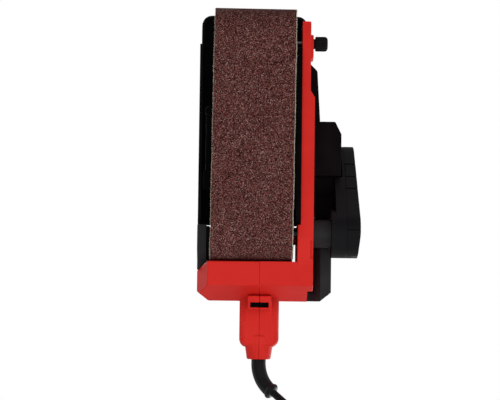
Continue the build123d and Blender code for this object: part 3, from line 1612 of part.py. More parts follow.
cover_nose_x = motor_x + cover_motor_radius
cover_tail_x = drive_x - cover_drive_radius
pulley_room = pulley_right + pulley_length + shell_gap
with BuildPart() as drive_cover:
    extrude(
        pulley_loop(across(drive_cover_rear_y), cover_motor_radius, cover_drive_radius),
        amount=drive_cover_rear_y - backplate_left,
    )
    with BuildSketch(Plane.XY):
        with BuildLine():
            Polyline(
                (cover_nose_x, drive_cover_front_y),
                (drive_cover_bulge_x, drive_cover_rear_y),
                (cover_nose_x, drive_cover_rear_y),
                close=True,
            )
        make_face()
        with BuildLine():
            Polyline(
                (cover_tail_x, drive_cover_front_y),
                (drive_x, drive_cover_rear_y),
                (cover_tail_x, drive_cover_rear_y),
                close=True,
            )
        make_face()
    extrude(amount=motor_height + cover_motor_radius, mode=Mode.SUBTRACT)
    extrude(
        pulley_loop(
            across(pulley_room), cover_motor_radius - drive_cover_wall, cover_drive_radius - drive_cover_wall
        ),
        amount=pulley_room - backplate_left,
        mode=Mode.SUBTRACT,
    )
    with BuildSketch(across(pulley_room)):
        with Locations(*cover_screw_places):
            Circle(cover_boss_radius)
    extrude(amount=pulley_room - backplate_left)
    with BuildSketch(across(drive_cover_rear_y)):
        with Locations(*cover_screw_places):
            Circle(cover_screw_radius + slide_gap)
    extrude(amount=drive_cover_rear_y - backplate_left, mode=Mode.SUBTRACT)
    with BuildSketch(across(drive_cover_rear_y)):
        with Locations(*cover_screw_places):
            Circle(cover_screw_head + slide_gap)
    extrude(amount=drive_cover_rear_y - cover_screw_seat, mode=Mode.SUBTRACT)
    add(groove_cuts(), mode=Mode.SUBTRACT)
drive_cover.part.label = "drive_cover"
export_step(drive_cover.part, "parts/drive_cover.step")

with BuildPart() as drive_cover_screws:
    with BuildSketch(across(cover_screw_seat)):
        with Locations(*cover_screw_places):
            Circle(cover_screw_radius)
    extrude(amount=cover_screw_seat - cover_screw_end)
    with BuildSketch(across(cover_screw_seat + cover_screw_head_height)):
        with Locations(*cover_screw_places):
            Circle(cover_screw_head)
    extrude(amount=cover_screw_head_height)
    with BuildSketch(across(cover_screw_seat + cover_screw_head_height)):
        with Locations(*cover_screw_places):
            RegularPolygon(cover_screw_radius, 6)
    extrude(amount=cover_screw_head_height / 2, mode=Mode.SUBTRACT)
drive_cover_screws.part.label = "drive_cover_screws"
export_step(drive_cover_screws.part, "parts/drive_cover_screws.step")

# Front grip: a knob on the hood, with a soft cap
hood_top = cover_top + hood_height
grip_side = Plane(origin=(grip_x, 0, hood_top), x_dir=(1, 0, 0), z_dir=(0, -1, 0))
grip_axis = Axis((grip_x, 0, hood_top), (0, 0, 1))
with BuildPart() as front_grip:
    with BuildSketch(grip_side):
        with BuildLine():
            foot = Polyline((0, 0), (grip_base, 0))
            side = Spline(
                foot @ 1,
                (grip_waist, grip_waist_height),
                (grip_head, grip_head_height),
            )
            Polyline(side @ 1, (grip_head - grip_pad_height / 2, grip_height), (0, grip_height), (0, 0))
        make_face()
    revolve(axis=grip_axis)
front_grip.part.label = "front_grip"
export_step(front_grip.part, "parts/front_grip.step")

pad_plane = Plane(origin=(grip_x, 0, hood_top + grip_height), x_dir=(1, 0, 0), z_dir=(0, -1, 0))
with BuildPart() as front_grip_pad:
    with BuildSketch(pad_plane):
        with BuildLine():
            Polyline(
                (0, 0),
                (grip_head - grip_pad_height / 2, 0),
                (grip_head - grip_pad_height, grip_pad_height / 2),
                (grip_waist, grip_pad_height),
                (0, grip_pad_height),
                close=True,
            )
        make_face()
    revolve(axis=grip_axis)
front_grip_pad.part.label = "front_grip_pad"
export_step(front_grip_pad.part, "parts/front_grip_pad.step")

# Soft pad along the top of the handle
pad_front, pad_rear = handle_outline[4], handle_outline[5]
pad_slope = (pad_front[1] - pad_rear[1]) / (pad_front[0] - pad_rear[0])
pad_line = [(x, pad_front[1] + (x - pad_front[0]) * pad_slope) for x in (rear_pad_front, rear_pad_rear)]
with BuildPart() as rear_grip_pad:
    with BuildSketch(across(seam_y + rear_pad_half_width)):
        with BuildLine():
            Polyline(
                *pad_line,
                (rear_pad_rear, pad_line[1][1] + rear_pad_thickness),
                (rear_pad_front, pad_line[0][1] + rear_pad_thickness),
                close=True,
            )
        make_face()
    extrude(amount=2 * rear_pad_half_width)
    fillet(rear_grip_pad.faces().sort_by(Axis.Z)[-1].edges(), rear_pad_thickness / 3)
rear_grip_pad.part.label = "rear_grip_pad"
export_step(rear_grip_pad.part, "parts/rear_grip_pad.step")

# Screws that hold the two housing halves together
with BuildPart() as housing_screws:
    with BuildSketch(across(seam_y + housing_screw_length / 2)):
        with Locations(*housing_screw_places):
            Circle(housing_screw_radius)
    extrude(amount=housing_screw_length)
    with BuildSketch(across(seam_y - housing_screw_length / 2)):
        with Locations(*housing_screw_places):
            Circle(housing_screw_head)
    extrude(amount=housing_screw_head_height)
    with BuildSketch(across(seam_y - housing_screw_length / 2 - housing_screw_head_height)):
        with Locations(*housing_screw_places):
            RegularPolygon(housing_screw_radius, 6)
    extrude(amount=-housing_screw_head_height / 2, mode=Mode.SUBTRACT)
housing_screws.part.label = "housing_screws"
export_step(housing_screws.part, "parts/housing_screws.step")

# Trigger, its switch, the lock button and the speed dial
trigger_middle = (trigger_front + trigger_rear) / 2
with BuildPart() as trigger:
    with BuildSketch(across(seam_y + trigger_half_width)):
        with BuildLine():
            Line((trigger_front, trigger_bottom), (trigger_front, trigger_top))
            Line((trigger_front, trigger_top), (trigger_rear, trigger_top))
            Line((trigger_rear, trigger_top), (trigger_rear, trigger_bottom))
            ThreePointArc(
                (trigger_rear, trigger_bottom),
                (trigger_middle, trigger_bottom + trigger_hollow),
                (trigger_front, trigger_bottom),
            )
        make_face()
    extrude(amount=2 * trigger_half_width)
    fillet(trigger.faces().sort_by(Axis.Z)[0].edges().filter_by(GeomType.CIRCLE), trigger_round)
trigger.part.label = "trigger"
export_step(trigger.part, "parts/trigger.step")

with BuildPart() as switch_body:
    with BuildSketch(Plane.XY.offset(switch_bottom)):
        with Locations(((switch_front + switch_rear) / 2, seam_y)):
            RectangleRounded(switch_front - switch_rear, 2 * switch_half_width, trigger_round)
    extrude(amount=switch_top - switch_bottom)
switch_body.part.label = "switch_body"
export_step(switch_body.part, "parts/switch_body.step")

lock_outer = seam_y + handle_half_width + lock_proud
with BuildPart() as lock_button:
    with BuildSketch(across(lock_outer)):
        with Locations((lock_x, lock_z)):
            Circle(lock_radius)
    extrude(amount=lock_length)
    fillet(lock_button.faces().sort_by(Axis.Y)[-1].edges(), trigger_round)
lock_button.part.label = "lock_button"
export_step(lock_button.part, "parts/lock_button.step")

with BuildPart() as speed_dial:
    with BuildSketch(across(seam_y + dial_width / 2)):
        with Locations((dial_x, dial_z)):
            Circle(dial_radius)
            Circle(dial_pin_radius + running_fit, mode=Mode.SUBTRACT)
            with PolarLocations(dial_radius, dial_notches):
                Circle(dial_notch_radius, mode=Mode.SUBTRACT)
    extrude(amount=dial_width)
speed_dial.part.label = "speed_dial"
export_step(speed_dial.part, "parts/speed_dial.step")

# Speed controller in the rear of the handle, and the clamp that grips the cord
with BuildPart() as speed_controller:
    with BuildSketch(Plane.XY.offset(controller_bottom)):
        with Locations(((controller_front + controller_rear) / 2, seam_y)):
            RectangleRounded(controller_front - controller_rear, 2 * controller_half_width, trigger_round)
    extrude(amount=controller_top - controller_bottom)
speed_controller.part.label = "speed_controller"
export_step(speed_controller.part, "parts/speed_controller.step")

cord_radius = cord_diameter / 2
with BuildPart() as cord_clamp:
    with BuildSketch(endwise(clamp_rear)):
        with Locations((seam_y, (clamp_top + clamp_bottom) / 2)):
            RectangleRounded(2 * clamp_half_width, clamp_top - clamp_bottom, trigger_round)
        with Locations((seam_y, cord_height)):
            Circle(cord_radius + press_fit, mode=Mode.SUBTRACT)
    extrude(amount=clamp_front - clamp_rear)
cord_clamp.part.label = "cord_clamp"
export_step(cord_clamp.part, "parts/cord_clamp.step")

# Cord boot: a stub inside the housing, a root in its bore, a bent sleeve and a collar round the cord
boot_aside = Vector(*boot_side).normalized()
boot_back = Vector(-1, 0, 0)
boot_angle = math.radians(boot_turn)
boot_start = Vector(cord_boss_end, seam_y, cord_height)
bend_start = boot_start + boot_back * boot_straight
bend_end = (
    bend_start
    + boot_back * (boot_bend * math.sin(boot_angle))
    + boot_aside * (boot_bend * (1 - math.cos(boot_angle)))
)
boot_way = boot_back * math.cos(boot_angle) + boot_aside * math.sin(boot_angle)
boot_tip = bend_end + boot_way * boot_collar
with BuildPart() as cord_boot:
    with BuildSketch(endwise(cord_boss_end)):
        with Locations((seam_y, cord_height)):
            Circle(boot_radius)
    extrude(amount=cord_boss_start - cord_boss_end)
    with BuildSketch(endwise(cord_boss_start)):
        with Locations((seam_y, cord_height)):
            Circle(cord_radius)
    extrude(amount=cord_stub_end - cord_boss_start)
    with BuildLine() as boot_line:
        Line(boot_start, bend_start)
        bend(bend_start, boot_back, bend_end)
    with BuildSketch(Plane(origin=boot_start, z_dir=boot_back)):
        Circle(boot_waist)
    sweep(path=boot_line.line)
    with BuildSketch(Plane(origin=bend_end, z_dir=boot_way)):
        Circle(boot_collar_radius)
    extrude(amount=boot_collar)
cord_boot.part.label = "cord_boot"
export_step(cord_boot.part, "parts/cord_boot.step")

# Coil of cord behind the tool: inward in the lower layer, up, and outward again on top, as one tube
coil_angle = math.radians(coil_heading)
coil_plane = Plane(
    origin=(*coil_centre, cord_radius + floor_gap),
    x_dir=(math.cos(coil_angle), math.sin(coil_angle), 0),
    z_dir=(0, 0, 1),
)
upper_plane = coil_plane.offset(coil_pitch)
coil_entry = coil_plane.from_local_coords(Vector(cord_diameter, coil_radius, 0))
with BuildPart() as cord_coil:
    with BuildLine() as coil_path:
        place = coil_radius
        radius = coil_radius
        side = 1
        Line(coil_entry, coil_plane.from_local_coords(Vector(0, place, 0)))
        for step in range(2 * coil_half_turns):
            layer = coil_plane if step <= coil_half_turns else upper_plane
            rise = coil_pitch if step == coil_half_turns else 0
            half_turn(layer, place - side * radius, radius, side, rise)
            place -= 2 * side * radius
            side = -side
            radius += coil_pitch / 2 if step >= coil_half_turns else -coil_pitch / 2
        turn_start = upper_plane.from_local_coords(Vector(0, place, 0))
        turn_end = upper_plane.from_local_coords(Vector(-radius, place - radius, 0))
        coil_end = upper_plane.from_local_coords(Vector(-radius, place - radius - coil_tail, 0))
        bend(turn_start, coil_plane.x_dir * -1, turn_end)
        Line(turn_end, coil_end)
    with BuildSketch(Plane(origin=coil_path.line @ 0, z_dir=coil_path.line % 0)):
        Circle(cord_radius)
    sweep(path=coil_path.line)
cord_coil.part.label = "cord_coil"
export_step(cord_coil.part, "parts/cord_coil.step")
coil_wire = coil_path.wire()
coil_length = coil_wire.length
coil_share = cord_coil.part.volume / (math.pi * cord_radius**2 * coil_length)
coil_steps = round(coil_length / cord_radius)
coil_points = [coil_wire @ (step / coil_steps) for step in range(coil_steps + 1)]
apart = 3 * coil_pitch
coil_gap = min(
    (first - second).length - cord_diameter
    for order, first in enumerate(coil_points)
    for second in coil_points[order + round(apart / cord_radius):]
)
print(f"cord coil: length {coil_length:.0f} mm, volume share {coil_share:.4f}, least gap {coil_gap:.2f} mm")

# Free cord from the boot down to the coil
cord_points = [
    boot_tip,
    boot_tip + boot_way * cord_drop,
    Vector(*cord_bend),
    coil_entry + coil_plane.x_dir * cord_lead,
    coil_entry,
]
cord_runs = [after - before for before, after in zip(cord_points, cord_points[1:])]
cord_bends = [
    0.45 * min(before.length, after.length) / math.tan(math.radians(before.get_angle(after)) / 2)
    for before, after in zip(cord_runs, cord_runs[1:])
]
with BuildPart() as power_cord:
    with BuildLine() as cord_path:
        FilletPolyline(*cord_points, radius=cord_bends)
    with BuildSketch(Plane(origin=cord_path.line @ 0, z_dir=cord_path.line % 0)):
        Circle(cord_radius)
    sweep(path=cord_path.line)
power_cord.part.label = "power_cord"
export_step(power_cord.part, "parts/power_cord.step")
cord_length = cord_path.wire().length
cord_share = power_cord.part.volume / (math.pi * cord_radius**2 * cord_length)
print("power cord: runs", [round(run.length, 1) for run in cord_runs], "mm")
print("power cord: bend radii", [round(bend_radius, 1) for bend_radius in cord_bends], "mm")
print(f"power cord: length {cord_length:.0f} mm, volume share {cord_share:.4f}")

# Tie round one side of the coil
turns_inner = coil_radius - (coil_half_turns - 1) * coil_pitch / 2
tie_depth = coil_radius - turns_inner + cord_diameter + 2 * tie_slack
tie_height = coil_pitch + cord_diameter + 2 * shell_gap
tie_plane = Plane(
    origin=coil_plane.from_local_coords(Vector(-tie_width / 2, -(coil_radius + turns_inner) / 2, coil_pitch / 2)),
    x_dir=coil_plane.y_dir,
    z_dir=coil_plane.x_dir,
)
with BuildPart() as coil_tie:
    with BuildSketch(tie_plane):
        RectangleRounded(tie_depth + 2 * tie_wall, tie_height + 2 * tie_wall, cord_radius)
        RectangleRounded(tie_depth, tie_height, cord_radius - tie_wall, mode=Mode.SUBTRACT)
    extrude(amount=tie_width)
coil_tie.part.label = "coil_tie"
export_step(coil_tie.part, "parts/coil_tie.step")

# Two-pin mains plug on the end of the cord
plug_way = coil_plane.y_dir * -1
plug_plane = Plane(origin=coil_end, x_dir=coil_plane.x_dir, z_dir=plug_way)
with BuildPart() as plug:
    with BuildSketch(plug_plane):
        Circle(plug_neck_radius)
    extrude(amount=plug_neck_length)
    with BuildSketch(plug_plane.offset(plug_neck_length)):
        RectangleRounded(plug_root, plug_root, plug_round)
    with BuildSketch(plug_plane.offset(plug_neck_length + plug_taper)):
        RectangleRounded(plug_width, plug_height, plug_round)
    loft()
    with BuildSketch(plug_plane.offset(plug_neck_length + plug_taper)):
        RectangleRounded(plug_width, plug_height, plug_round)
    extrude(amount=plug_length - plug_taper)
    with BuildSketch(plug_plane.offset(plug_neck_length + plug_length - pin_diameter)):
        with Locations((pin_spacing / 2, 0), (-pin_spacing / 2, 0)):
            Circle(pin_diameter / 2)
    extrude(amount=pin_length + pin_diameter)
plug.part.label = "plug"
export_step(plug.part, "parts/plug.step")
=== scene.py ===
import json
import math

import bmesh
import bpy
from mathutils import Matrix, Vector
from mathutils.kdtree import KDTree

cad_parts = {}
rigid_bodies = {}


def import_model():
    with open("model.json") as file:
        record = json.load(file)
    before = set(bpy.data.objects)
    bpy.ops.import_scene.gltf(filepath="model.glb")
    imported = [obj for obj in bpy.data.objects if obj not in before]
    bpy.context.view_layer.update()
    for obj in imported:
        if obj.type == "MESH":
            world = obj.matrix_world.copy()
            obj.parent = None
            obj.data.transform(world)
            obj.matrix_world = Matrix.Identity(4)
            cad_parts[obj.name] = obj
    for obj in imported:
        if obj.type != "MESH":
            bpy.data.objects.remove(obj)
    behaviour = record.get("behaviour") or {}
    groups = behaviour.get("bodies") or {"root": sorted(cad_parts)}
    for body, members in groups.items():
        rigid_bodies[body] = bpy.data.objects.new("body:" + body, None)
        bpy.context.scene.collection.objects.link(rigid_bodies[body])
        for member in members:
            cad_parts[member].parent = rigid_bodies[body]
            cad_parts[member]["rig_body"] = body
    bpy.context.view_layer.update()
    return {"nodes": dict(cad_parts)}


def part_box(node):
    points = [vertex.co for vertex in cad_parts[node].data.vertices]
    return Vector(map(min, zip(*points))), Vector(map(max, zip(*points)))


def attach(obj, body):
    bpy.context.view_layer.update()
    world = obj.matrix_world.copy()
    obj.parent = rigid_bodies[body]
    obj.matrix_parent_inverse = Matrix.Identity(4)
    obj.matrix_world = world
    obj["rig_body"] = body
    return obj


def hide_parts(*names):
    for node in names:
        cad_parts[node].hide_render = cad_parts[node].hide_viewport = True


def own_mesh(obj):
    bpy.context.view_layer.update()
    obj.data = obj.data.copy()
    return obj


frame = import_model()
nodes = frame["nodes"]
scene = bpy.context.scene
scene.view_settings.view_transform = "Standard"
mm = 0.001
print("frame loaded:", len(nodes), "nodes")


def linearColor(text):  # sRGB hex to linear
    channels = [int(text[i:i + 2], 16) / 255 for i in (0, 2, 4)]
    return [c / 12.92 if c <= 0.04045 else ((c + 0.055) / 1.055) ** 2.4 for c in channels] + [1.0]


def addNode(tree, kind, sockets=None, links=None, into=None, stops=(), **settings):
    node = tree.nodes.new(kind)
    for name, value in settings.items():
        setattr(node, name, value)
    for name, value in (sockets or {}).items():
        node.inputs[name].default_value = value
    for name, source in (links or {}).items():  # a node stands for its first output
        tree.links.new(source.outputs[0] if isinstance(source, bpy.types.Node) else source, node.inputs[name])
    for number, (position, color) in enumerate(stops):  # a colour ramp starts with two stops
        bands = node.color_ramp.elements
        band = bands[number] if number < 2 else bands.new(position)
        band.position = position
        band.color = color
    if into is not None:
        tree.links.new(node.outputs[0], into)
    return node


def emptyTree(owner):
    owner.use_nodes = True
    owner.node_tree.nodes.clear()
    return owner.node_tree


def newMaterial(name, **sockets):
    material = bpy.data.materials.new(name)
    tree = emptyTree(material)
    shader = addNode(tree, "ShaderNodeBsdfPrincipled", sockets)
    addNode(tree, "ShaderNodeOutputMaterial", links={"Surface": shader})
    place = addNode(tree, "ShaderNodeTexCoord").outputs["Object"]
    return material, tree, shader, place


# Camera: straight up at the underside, with the nose at the top of the picture
view = {
    "target": Vector((-0.06394, -0.00251, 0.0)),
    "distance": 1.5,
    "tilt": math.radians(3.8),
    "lean": 0.0126,          # the tool stands a little askew in the picture
    "pictureWidth": 0.4626,  # what 500 pixels span at the target
}


def makeCamera():
    data = bpy.data.cameras.new("photoCamera")
    camera = bpy.data.objects.new("photoCamera", data)
    scene.collection.objects.link(camera)
    tilt, lean = view["tilt"], view["lean"]
    ahead = Vector((math.sin(tilt), -lean * math.sin(tilt), math.cos(tilt))).normalized()
    up = Vector((1, -lean, 0))
    up = (up - ahead * up.dot(ahead)).normalized()
    right = ahead.cross(up)
    turn = Matrix((right, up, -ahead)).transposed().to_4x4()
    camera.matrix_world = Matrix.Translation(view["target"] - ahead * view["distance"]) @ turn
    data.sensor_width = 36
    data.lens = data.sensor_width * view["distance"] / view["pictureWidth"]
    data.clip_end = 20
    scene.camera = camera


makeCamera()
print("camera set")


# Materials: each is one real finish, on Object coordinates in metres, except one darker copy of the black nylon,
# which paints shade
def colorAndRelief(tree, shader, pattern, dark, light, strength, depth):  # both follow one pattern
    addNode(tree, "ShaderNodeValToRGB", links={"Fac": pattern}, into=shader.inputs["Base Color"],
            stops=[(0.0, linearColor(dark)), (1.0, linearColor(light))])
    addNode(tree, "ShaderNodeBump", {"Strength": strength, "Distance": depth}, {"Height": pattern},
            into=shader.inputs["Normal"])


# moulded, cast or sprayed: patches of slightly changing shade, and a grain that also breaks up the gloss
def makeMoulded(name, dark, light, patch, grain, depth, roughness, specular, sheen=0.0):
    material, tree, shader, place = newMaterial(name, **{"Specular IOR Level": specular, "Sheen Weight": sheen})
    shade = addNode(tree, "ShaderNodeTexNoise", {"Scale": 1 / patch, "Detail": 3.0}, {"Vector": place})
    addNode(tree, "ShaderNodeValToRGB", links={"Fac": shade}, into=shader.inputs["Base Color"],
            stops=[(0.32, linearColor(dark)), (0.68, linearColor(light))])
    noise = addNode(tree, "ShaderNodeTexNoise", {"Scale": 1 / grain, "Detail": 2.0}, {"Vector": place})
    addNode(tree, "ShaderNodeBump", {"Strength": 0.6, "Distance": depth}, {"Height": noise},
            into=shader.inputs["Normal"])
    addNode(tree, "ShaderNodeMapRange", {"To Min": roughness[0], "To Max": roughness[1]}, {"Value": noise},
            into=shader.inputs["Roughness"])
    return material


def makeBlackNylon(name, dark, light, specular):  # glass-filled nylon: dull, with a leather-like moulded grain
    return makeMoulded(name, dark, light, 22 * mm, 0.9 * mm, 0.05 * mm, (0.45, 0.68), specular)


def makeRubber(name, dark, light, grain, specular, roughness):  # moulded rubber or soft PVC, slightly dusty
    return makeMoulded(name, dark, light, 14 * mm, grain, 0.03 * mm, roughness, specular, 0.03)


def makeMetal(name, dark, light, streak, roughness):  # turned, ground or drawn metal with fine tool lines
    material, tree, shader, place = newMaterial(name, **{"Metallic": 1.0})
    stretch = addNode(tree, "ShaderNodeMapping", {"Scale": streak}, {"Vector": place})
    # real tool lines are 0.1 to 0.3 mm apart, drawn about every 1.1 mm to show
    lines = addNode(tree, "ShaderNodeTexNoise", {"Scale": 0.9 / mm, "Detail": 2.0}, {"Vector": stretch})
    colorAndRelief(tree, shader, lines, dark, light, 0.25, 0.01 * mm)
    addNode(tree, "ShaderNodeMapRange", {"To Min": roughness[0], "To Max": roughness[1]}, {"Value": lines},
            into=shader.inputs["Roughness"])
    return material


def makeAbrasive():  # aluminium oxide in a brown-red resin coat: each grain its own tone, a few bright ones
    material, tree, shader, place = newMaterial(
        "aluminiumOxideCloth", **{"Roughness": 0.8, "Specular IOR Level": 0.12})
    # real grains are 0.2 mm, drawn in small clumps to show
    fine = addNode(tree, "ShaderNodeTexVoronoi", {"Scale": 1 / (0.48 * mm)}, {"Vector": place})
    tone = addNode(tree, "ShaderNodeSeparateColor", links={0: fine.outputs["Color"]})
    ground = addNode(tree, "ShaderNodeValToRGB", links={"Fac": tone}, stops=[
        (0.0, linearColor("0c0202")), (0.55, linearColor("3c1b19")), (1.0, linearColor("a46c66"))])
    # bright grains, at most one in each millimetre
    sparks = addNode(tree, "ShaderNodeTexVoronoi", {"Scale": 1 / (1.0 * mm)}, {"Vector": place})
    body = addNode(tree, "ShaderNodeMapRange", {"From Min": 0.45, "From Max": 0.28},
                   {"Value": sparks.outputs["Distance"]})
    chance = addNode(tree, "ShaderNodeSeparateColor", links={0: sparks.outputs["Color"]})
    bright = addNode(tree, "ShaderNodeMath", {1: 4.0}, {0: chance}, operation="POWER")
    share = addNode(tree, "ShaderNodeMath", links={0: body, 1: bright}, operation="MULTIPLY")
    coat = addNode(tree, "ShaderNodeMix", {7: linearColor("d0bcb4")}, {0: share, 6: ground}, data_type="RGBA")
    patches = addNode(tree, "ShaderNodeTexNoise", {"Scale": 1 / (26 * mm), "Detail": 4.0}, {"Vector": place})
    wear = addNode(tree, "ShaderNodeValToRGB", links={"Fac": patches},
                   stops=[(0.3, linearColor("dec9c7")), (0.7, linearColor("ece3e3"))])
    tint = addNode(tree, "ShaderNodeMix", {0: 1.0}, {6: coat.outputs[2], 7: wear},
                   data_type="RGBA", blend_type="MULTIPLY")
    tree.links.new(tint.outputs[2], shader.inputs["Base Color"])
    addNode(tree, "ShaderNodeBump", {"Strength": 0.5, "Distance": 0.25 * mm}, {"Height": fine},
            into=shader.inputs["Normal"], invert=True)
    return material


def makeCloth(name, dark, light, thread):  # plain weave, two crossed waves at the thread spacing
    material, tree, shader, place = newMaterial(name, **{"Roughness": 0.9, "Specular IOR Level": 0.1})
    scale = 0.16 / thread  # a wave repeats every 0.314 over its scale, which is two threads
    warp, weft = (addNode(tree, "ShaderNodeTexWave", {"Scale": scale}, {"Vector": place}, bands_direction=way)
                  for way in ("X", "Y"))
    weave = addNode(tree, "ShaderNodeMath", links={0: warp.outputs[1], 1: weft.outputs[1]}, operation="MAXIMUM")
    colorAndRelief(tree, shader, weave, dark, light, 0.5, 0.1 * mm)
    return material


def makeCork():  # pressed cork: brown granules with dark joints
    material, tree, shader, place = newMaterial("pressedCork", **{"Roughness": 0.92, "Specular IOR Level": 0.1})
    cells = addNode(tree, "ShaderNodeTexVoronoi", {"Scale": 1 / (2.2 * mm)}, {"Vector": place})
    colorAndRelief(tree, shader, cells, "a8794e", "6b4527", 0.4, 0.2 * mm)
    return material


# injection moulded ABS: semi gloss, its spark-eroded grain of 0.2 mm drawn coarser to show
redAbs = makeMoulded("redMouldedAbs", "cc221b", "d42821", 35 * mm, 0.7 * mm, 0.03 * mm, (0.4, 0.56), 0.16)
blackNylon = makeBlackNylon("blackGlassNylon", "121113", "181719", 0.14)
paintedShadeNylon = makeBlackNylon("paintedShadeBlackNylon", "0c0a0b", "120f10", 0.08)          # painted shade: a darker copy of the nylon for the covers that lie in shadow
charcoalNylon = makeBlackNylon("charcoalGlassNylon", "272627", "2f2e2f", 0.16)  # greyer, round the rear roller
# satin paint on cast aluminium: soft orange peel
blackPaint = makeMoulded("blackPaintedCasting", "050506", "0a090a", 18 * mm, 1.6 * mm, 0.06 * mm, (0.4, 0.55), 0.05)
gripRubber = makeRubber("thermoplasticRubber", "1a1a1b", "222223", 0.8 * mm, 0.25, (0.5, 0.68))
cordPvc = makeRubber("softPvc", "151414", "1c1b1b", 1.2 * mm, 0.25, (0.3, 0.42))
beltRubber = makeRubber("neopreneBelt", "141414", "1b1b1b", 0.6 * mm, 0.25, (0.5, 0.68))
markInk = makeRubber("printedMarkInk", "cfccc6", "dcd9d3", 0.4 * mm, 0.1, (0.55, 0.65))    # pale and flat
carbon = makeRubber("pressedCarbon", "19191a", "262627", 0.4 * mm, 0.3, (0.4, 0.6))        # fine black grain
steel = makeMetal("groundSteel", "a3a5a8", "c9cbce", (1.0, 0.08, 1.0), (0.24, 0.42))
aluminium = makeMetal("machinedAluminium", "b4b6b8", "d3d5d6", (1.0, 0.05, 1.0), (0.3, 0.5))
copper = makeMetal("enamelledCopper", "8f4a2a", "c0713f", (0.05, 1.0, 0.05), (0.28, 0.45))
brass = makeMetal("drawnBrass", "b08a45", "d3ae63", (1.0, 0.1, 1.0), (0.25, 0.4))
nickel = makeMetal("nickelPlate", "c2c0ba", "dcdad5", (1.0, 1.0, 1.0), (0.14, 0.26))
lamination = makeMetal("siliconSteelSheets", "6f7276", "9a9da1", (0.05, 1.0, 0.05), (0.38, 0.55))
abrasive = makeAbrasive()
backingCloth = makeCloth("cottonBacking", "8d7a63", "b9a68b", 0.6 * mm)
threadCotton = makeCloth("looseCotton", "e2d6bf", "f6eedd", 0.3 * mm)
strapNylon = makeCloth("wovenNylonStrap", "1c1c1e", "2a2a2d", 0.7 * mm)
cork = makeCork()
print("materials made:", len(bpy.data.materials))

# Which nodes have which finish
finishes = [
    (redAbs, ["left_housing", "right_housing"]),
    (blackNylon, [
        "motor_end_cap", "cooling_fan", "dust_fan", "drive_cover", "drive_backplate", "front_grip", "trigger",
        "lock_button", "speed_dial", "speed_controller", "switch_body", "cord_clamp", "tracking_knob", "brush_caps",
        "driven_pulley"]),
    # painted shade: these covers get the darker copy of the black nylon
    (paintedShadeNylon, ["top_cover", "motor_housing", "fan_scroll"]),
    (charcoalNylon, ["rear_guard", "dust_outlet", "bearing_tube"]),
    (blackPaint, ["main_frame", "idler_yoke", "tension_lever", "lever_pivot_pin"]),
    (gripRubber, ["front_grip_pad", "rear_grip_pad", "drive_roller_tyre"]),
    (cordPvc, ["cord_boot", "power_cord", "cord_coil", "plug"]),
    (beltRubber, ["timing_belt"]),
    (steel, [
        "platen_shoe", "platen_screws", "idler_axle", "idler_bearings", "drive_shaft", "tension_spring",
        "tracking_screw", "armature_shaft", "shaft_bearings", "drive_cover_screws", "housing_screws"]),
    (aluminium, ["idler_roller", "drive_roller_core", "motor_pulley", "bearing_bracket"]),
    (copper, ["stator_coils", "armature_windings", "commutator"]),
    (brass, ["brush_holders"]),
    (lamination, ["stator_stack", "armature_stack"]),
    (abrasive, ["sanding_belt"]),
    (strapNylon, ["coil_tie"]),
    (cork, ["platen_pad"]),
    (carbon, ["carbon_brushes"]),
]
finishOf = {name: material for material, names in finishes for name in names}
for name, material in finishOf.items():
    nodes[name].data.materials.clear()
    nodes[name].data.materials.append(material)
print("CAD nodes finished:", len(finishOf), "of", len(nodes))


def smoothShade(mesh, angle):
    mesh.polygons.foreach_set("use_smooth", [True] * len(mesh.polygons))
    mesh.set_sharp_from_angle(angle=math.radians(angle))


def addPiece(name, source, body, *replaced, slot=None, finish=(), smooth=None):
    mesh = source
    if isinstance(source, bmesh.types.BMesh):
        mesh = bpy.data.meshes.new(name)
        bmesh.ops.recalc_face_normals(source, faces=source.faces)
        source.to_mesh(mesh)
        source.free()
    for material in finish:
        mesh.materials.append(material)
    if smooth:
        smoothShade(mesh, smooth)
    piece = bpy.data.objects.new(name, mesh)
    scene.collection.objects.link(piece)
    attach(piece, body)
    if replaced:
        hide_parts(*replaced)
    return piece


def addRing(bm, points):
    return [bm.verts.new(point) for point in points]


def roundRing(bm, centre, radius, count):  # circle about Z
    angles = [2 * math.pi * i / count for i in range(count)]
    return addRing(bm, [centre + Vector((math.cos(angle), math.sin(angle), 0)) * radius for angle in angles])


def flutedRing(bm, centre, radius, depth, flutes, steps, shape=1.0):  # circle about Y, with hollows of that depth
    points = []
    for i in range(flutes * steps):
        angle = 2 * math.pi * i / (flutes * steps)
        hollow = depth * (0.5 + 0.5 * math.cos(flutes * angle)) ** shape
        points.append(centre + Vector((math.cos(angle), 0, math.sin(angle))) * (radius - hollow))
    return addRing(bm, points)


def squareRing(bm, centre, across, up, halves, power=2.0, count=40):  # rounded square, power 2 is a circle
    points = []
    for i in range(count):
        angle = 2 * math.pi * (i + 0.5) / count
        cosine, sine = math.cos(angle), math.sin(angle)
        points.append(centre + across * halves[0] * math.copysign(abs(cosine) ** (2 / power), cosine)
                      + up * halves[1] * math.copysign(abs(sine) ** (2 / power), sine))
    return addRing(bm, points)


def loftRings(bm, rings, capStart=True, capEnd=True, index=0):  # skin a stack of rings with equal counts
    for lower, upper in zip(rings, rings[1:]):
        for i in range(len(lower)):
            j = (i + 1) % len(lower)
            bm.faces.new((lower[i], lower[j], upper[j], upper[i])).material_index = index
    for wanted, ring in ((capStart, rings[0]), (capEnd, rings[-1])):
        if wanted:
            bm.faces.new(ring).material_index = index


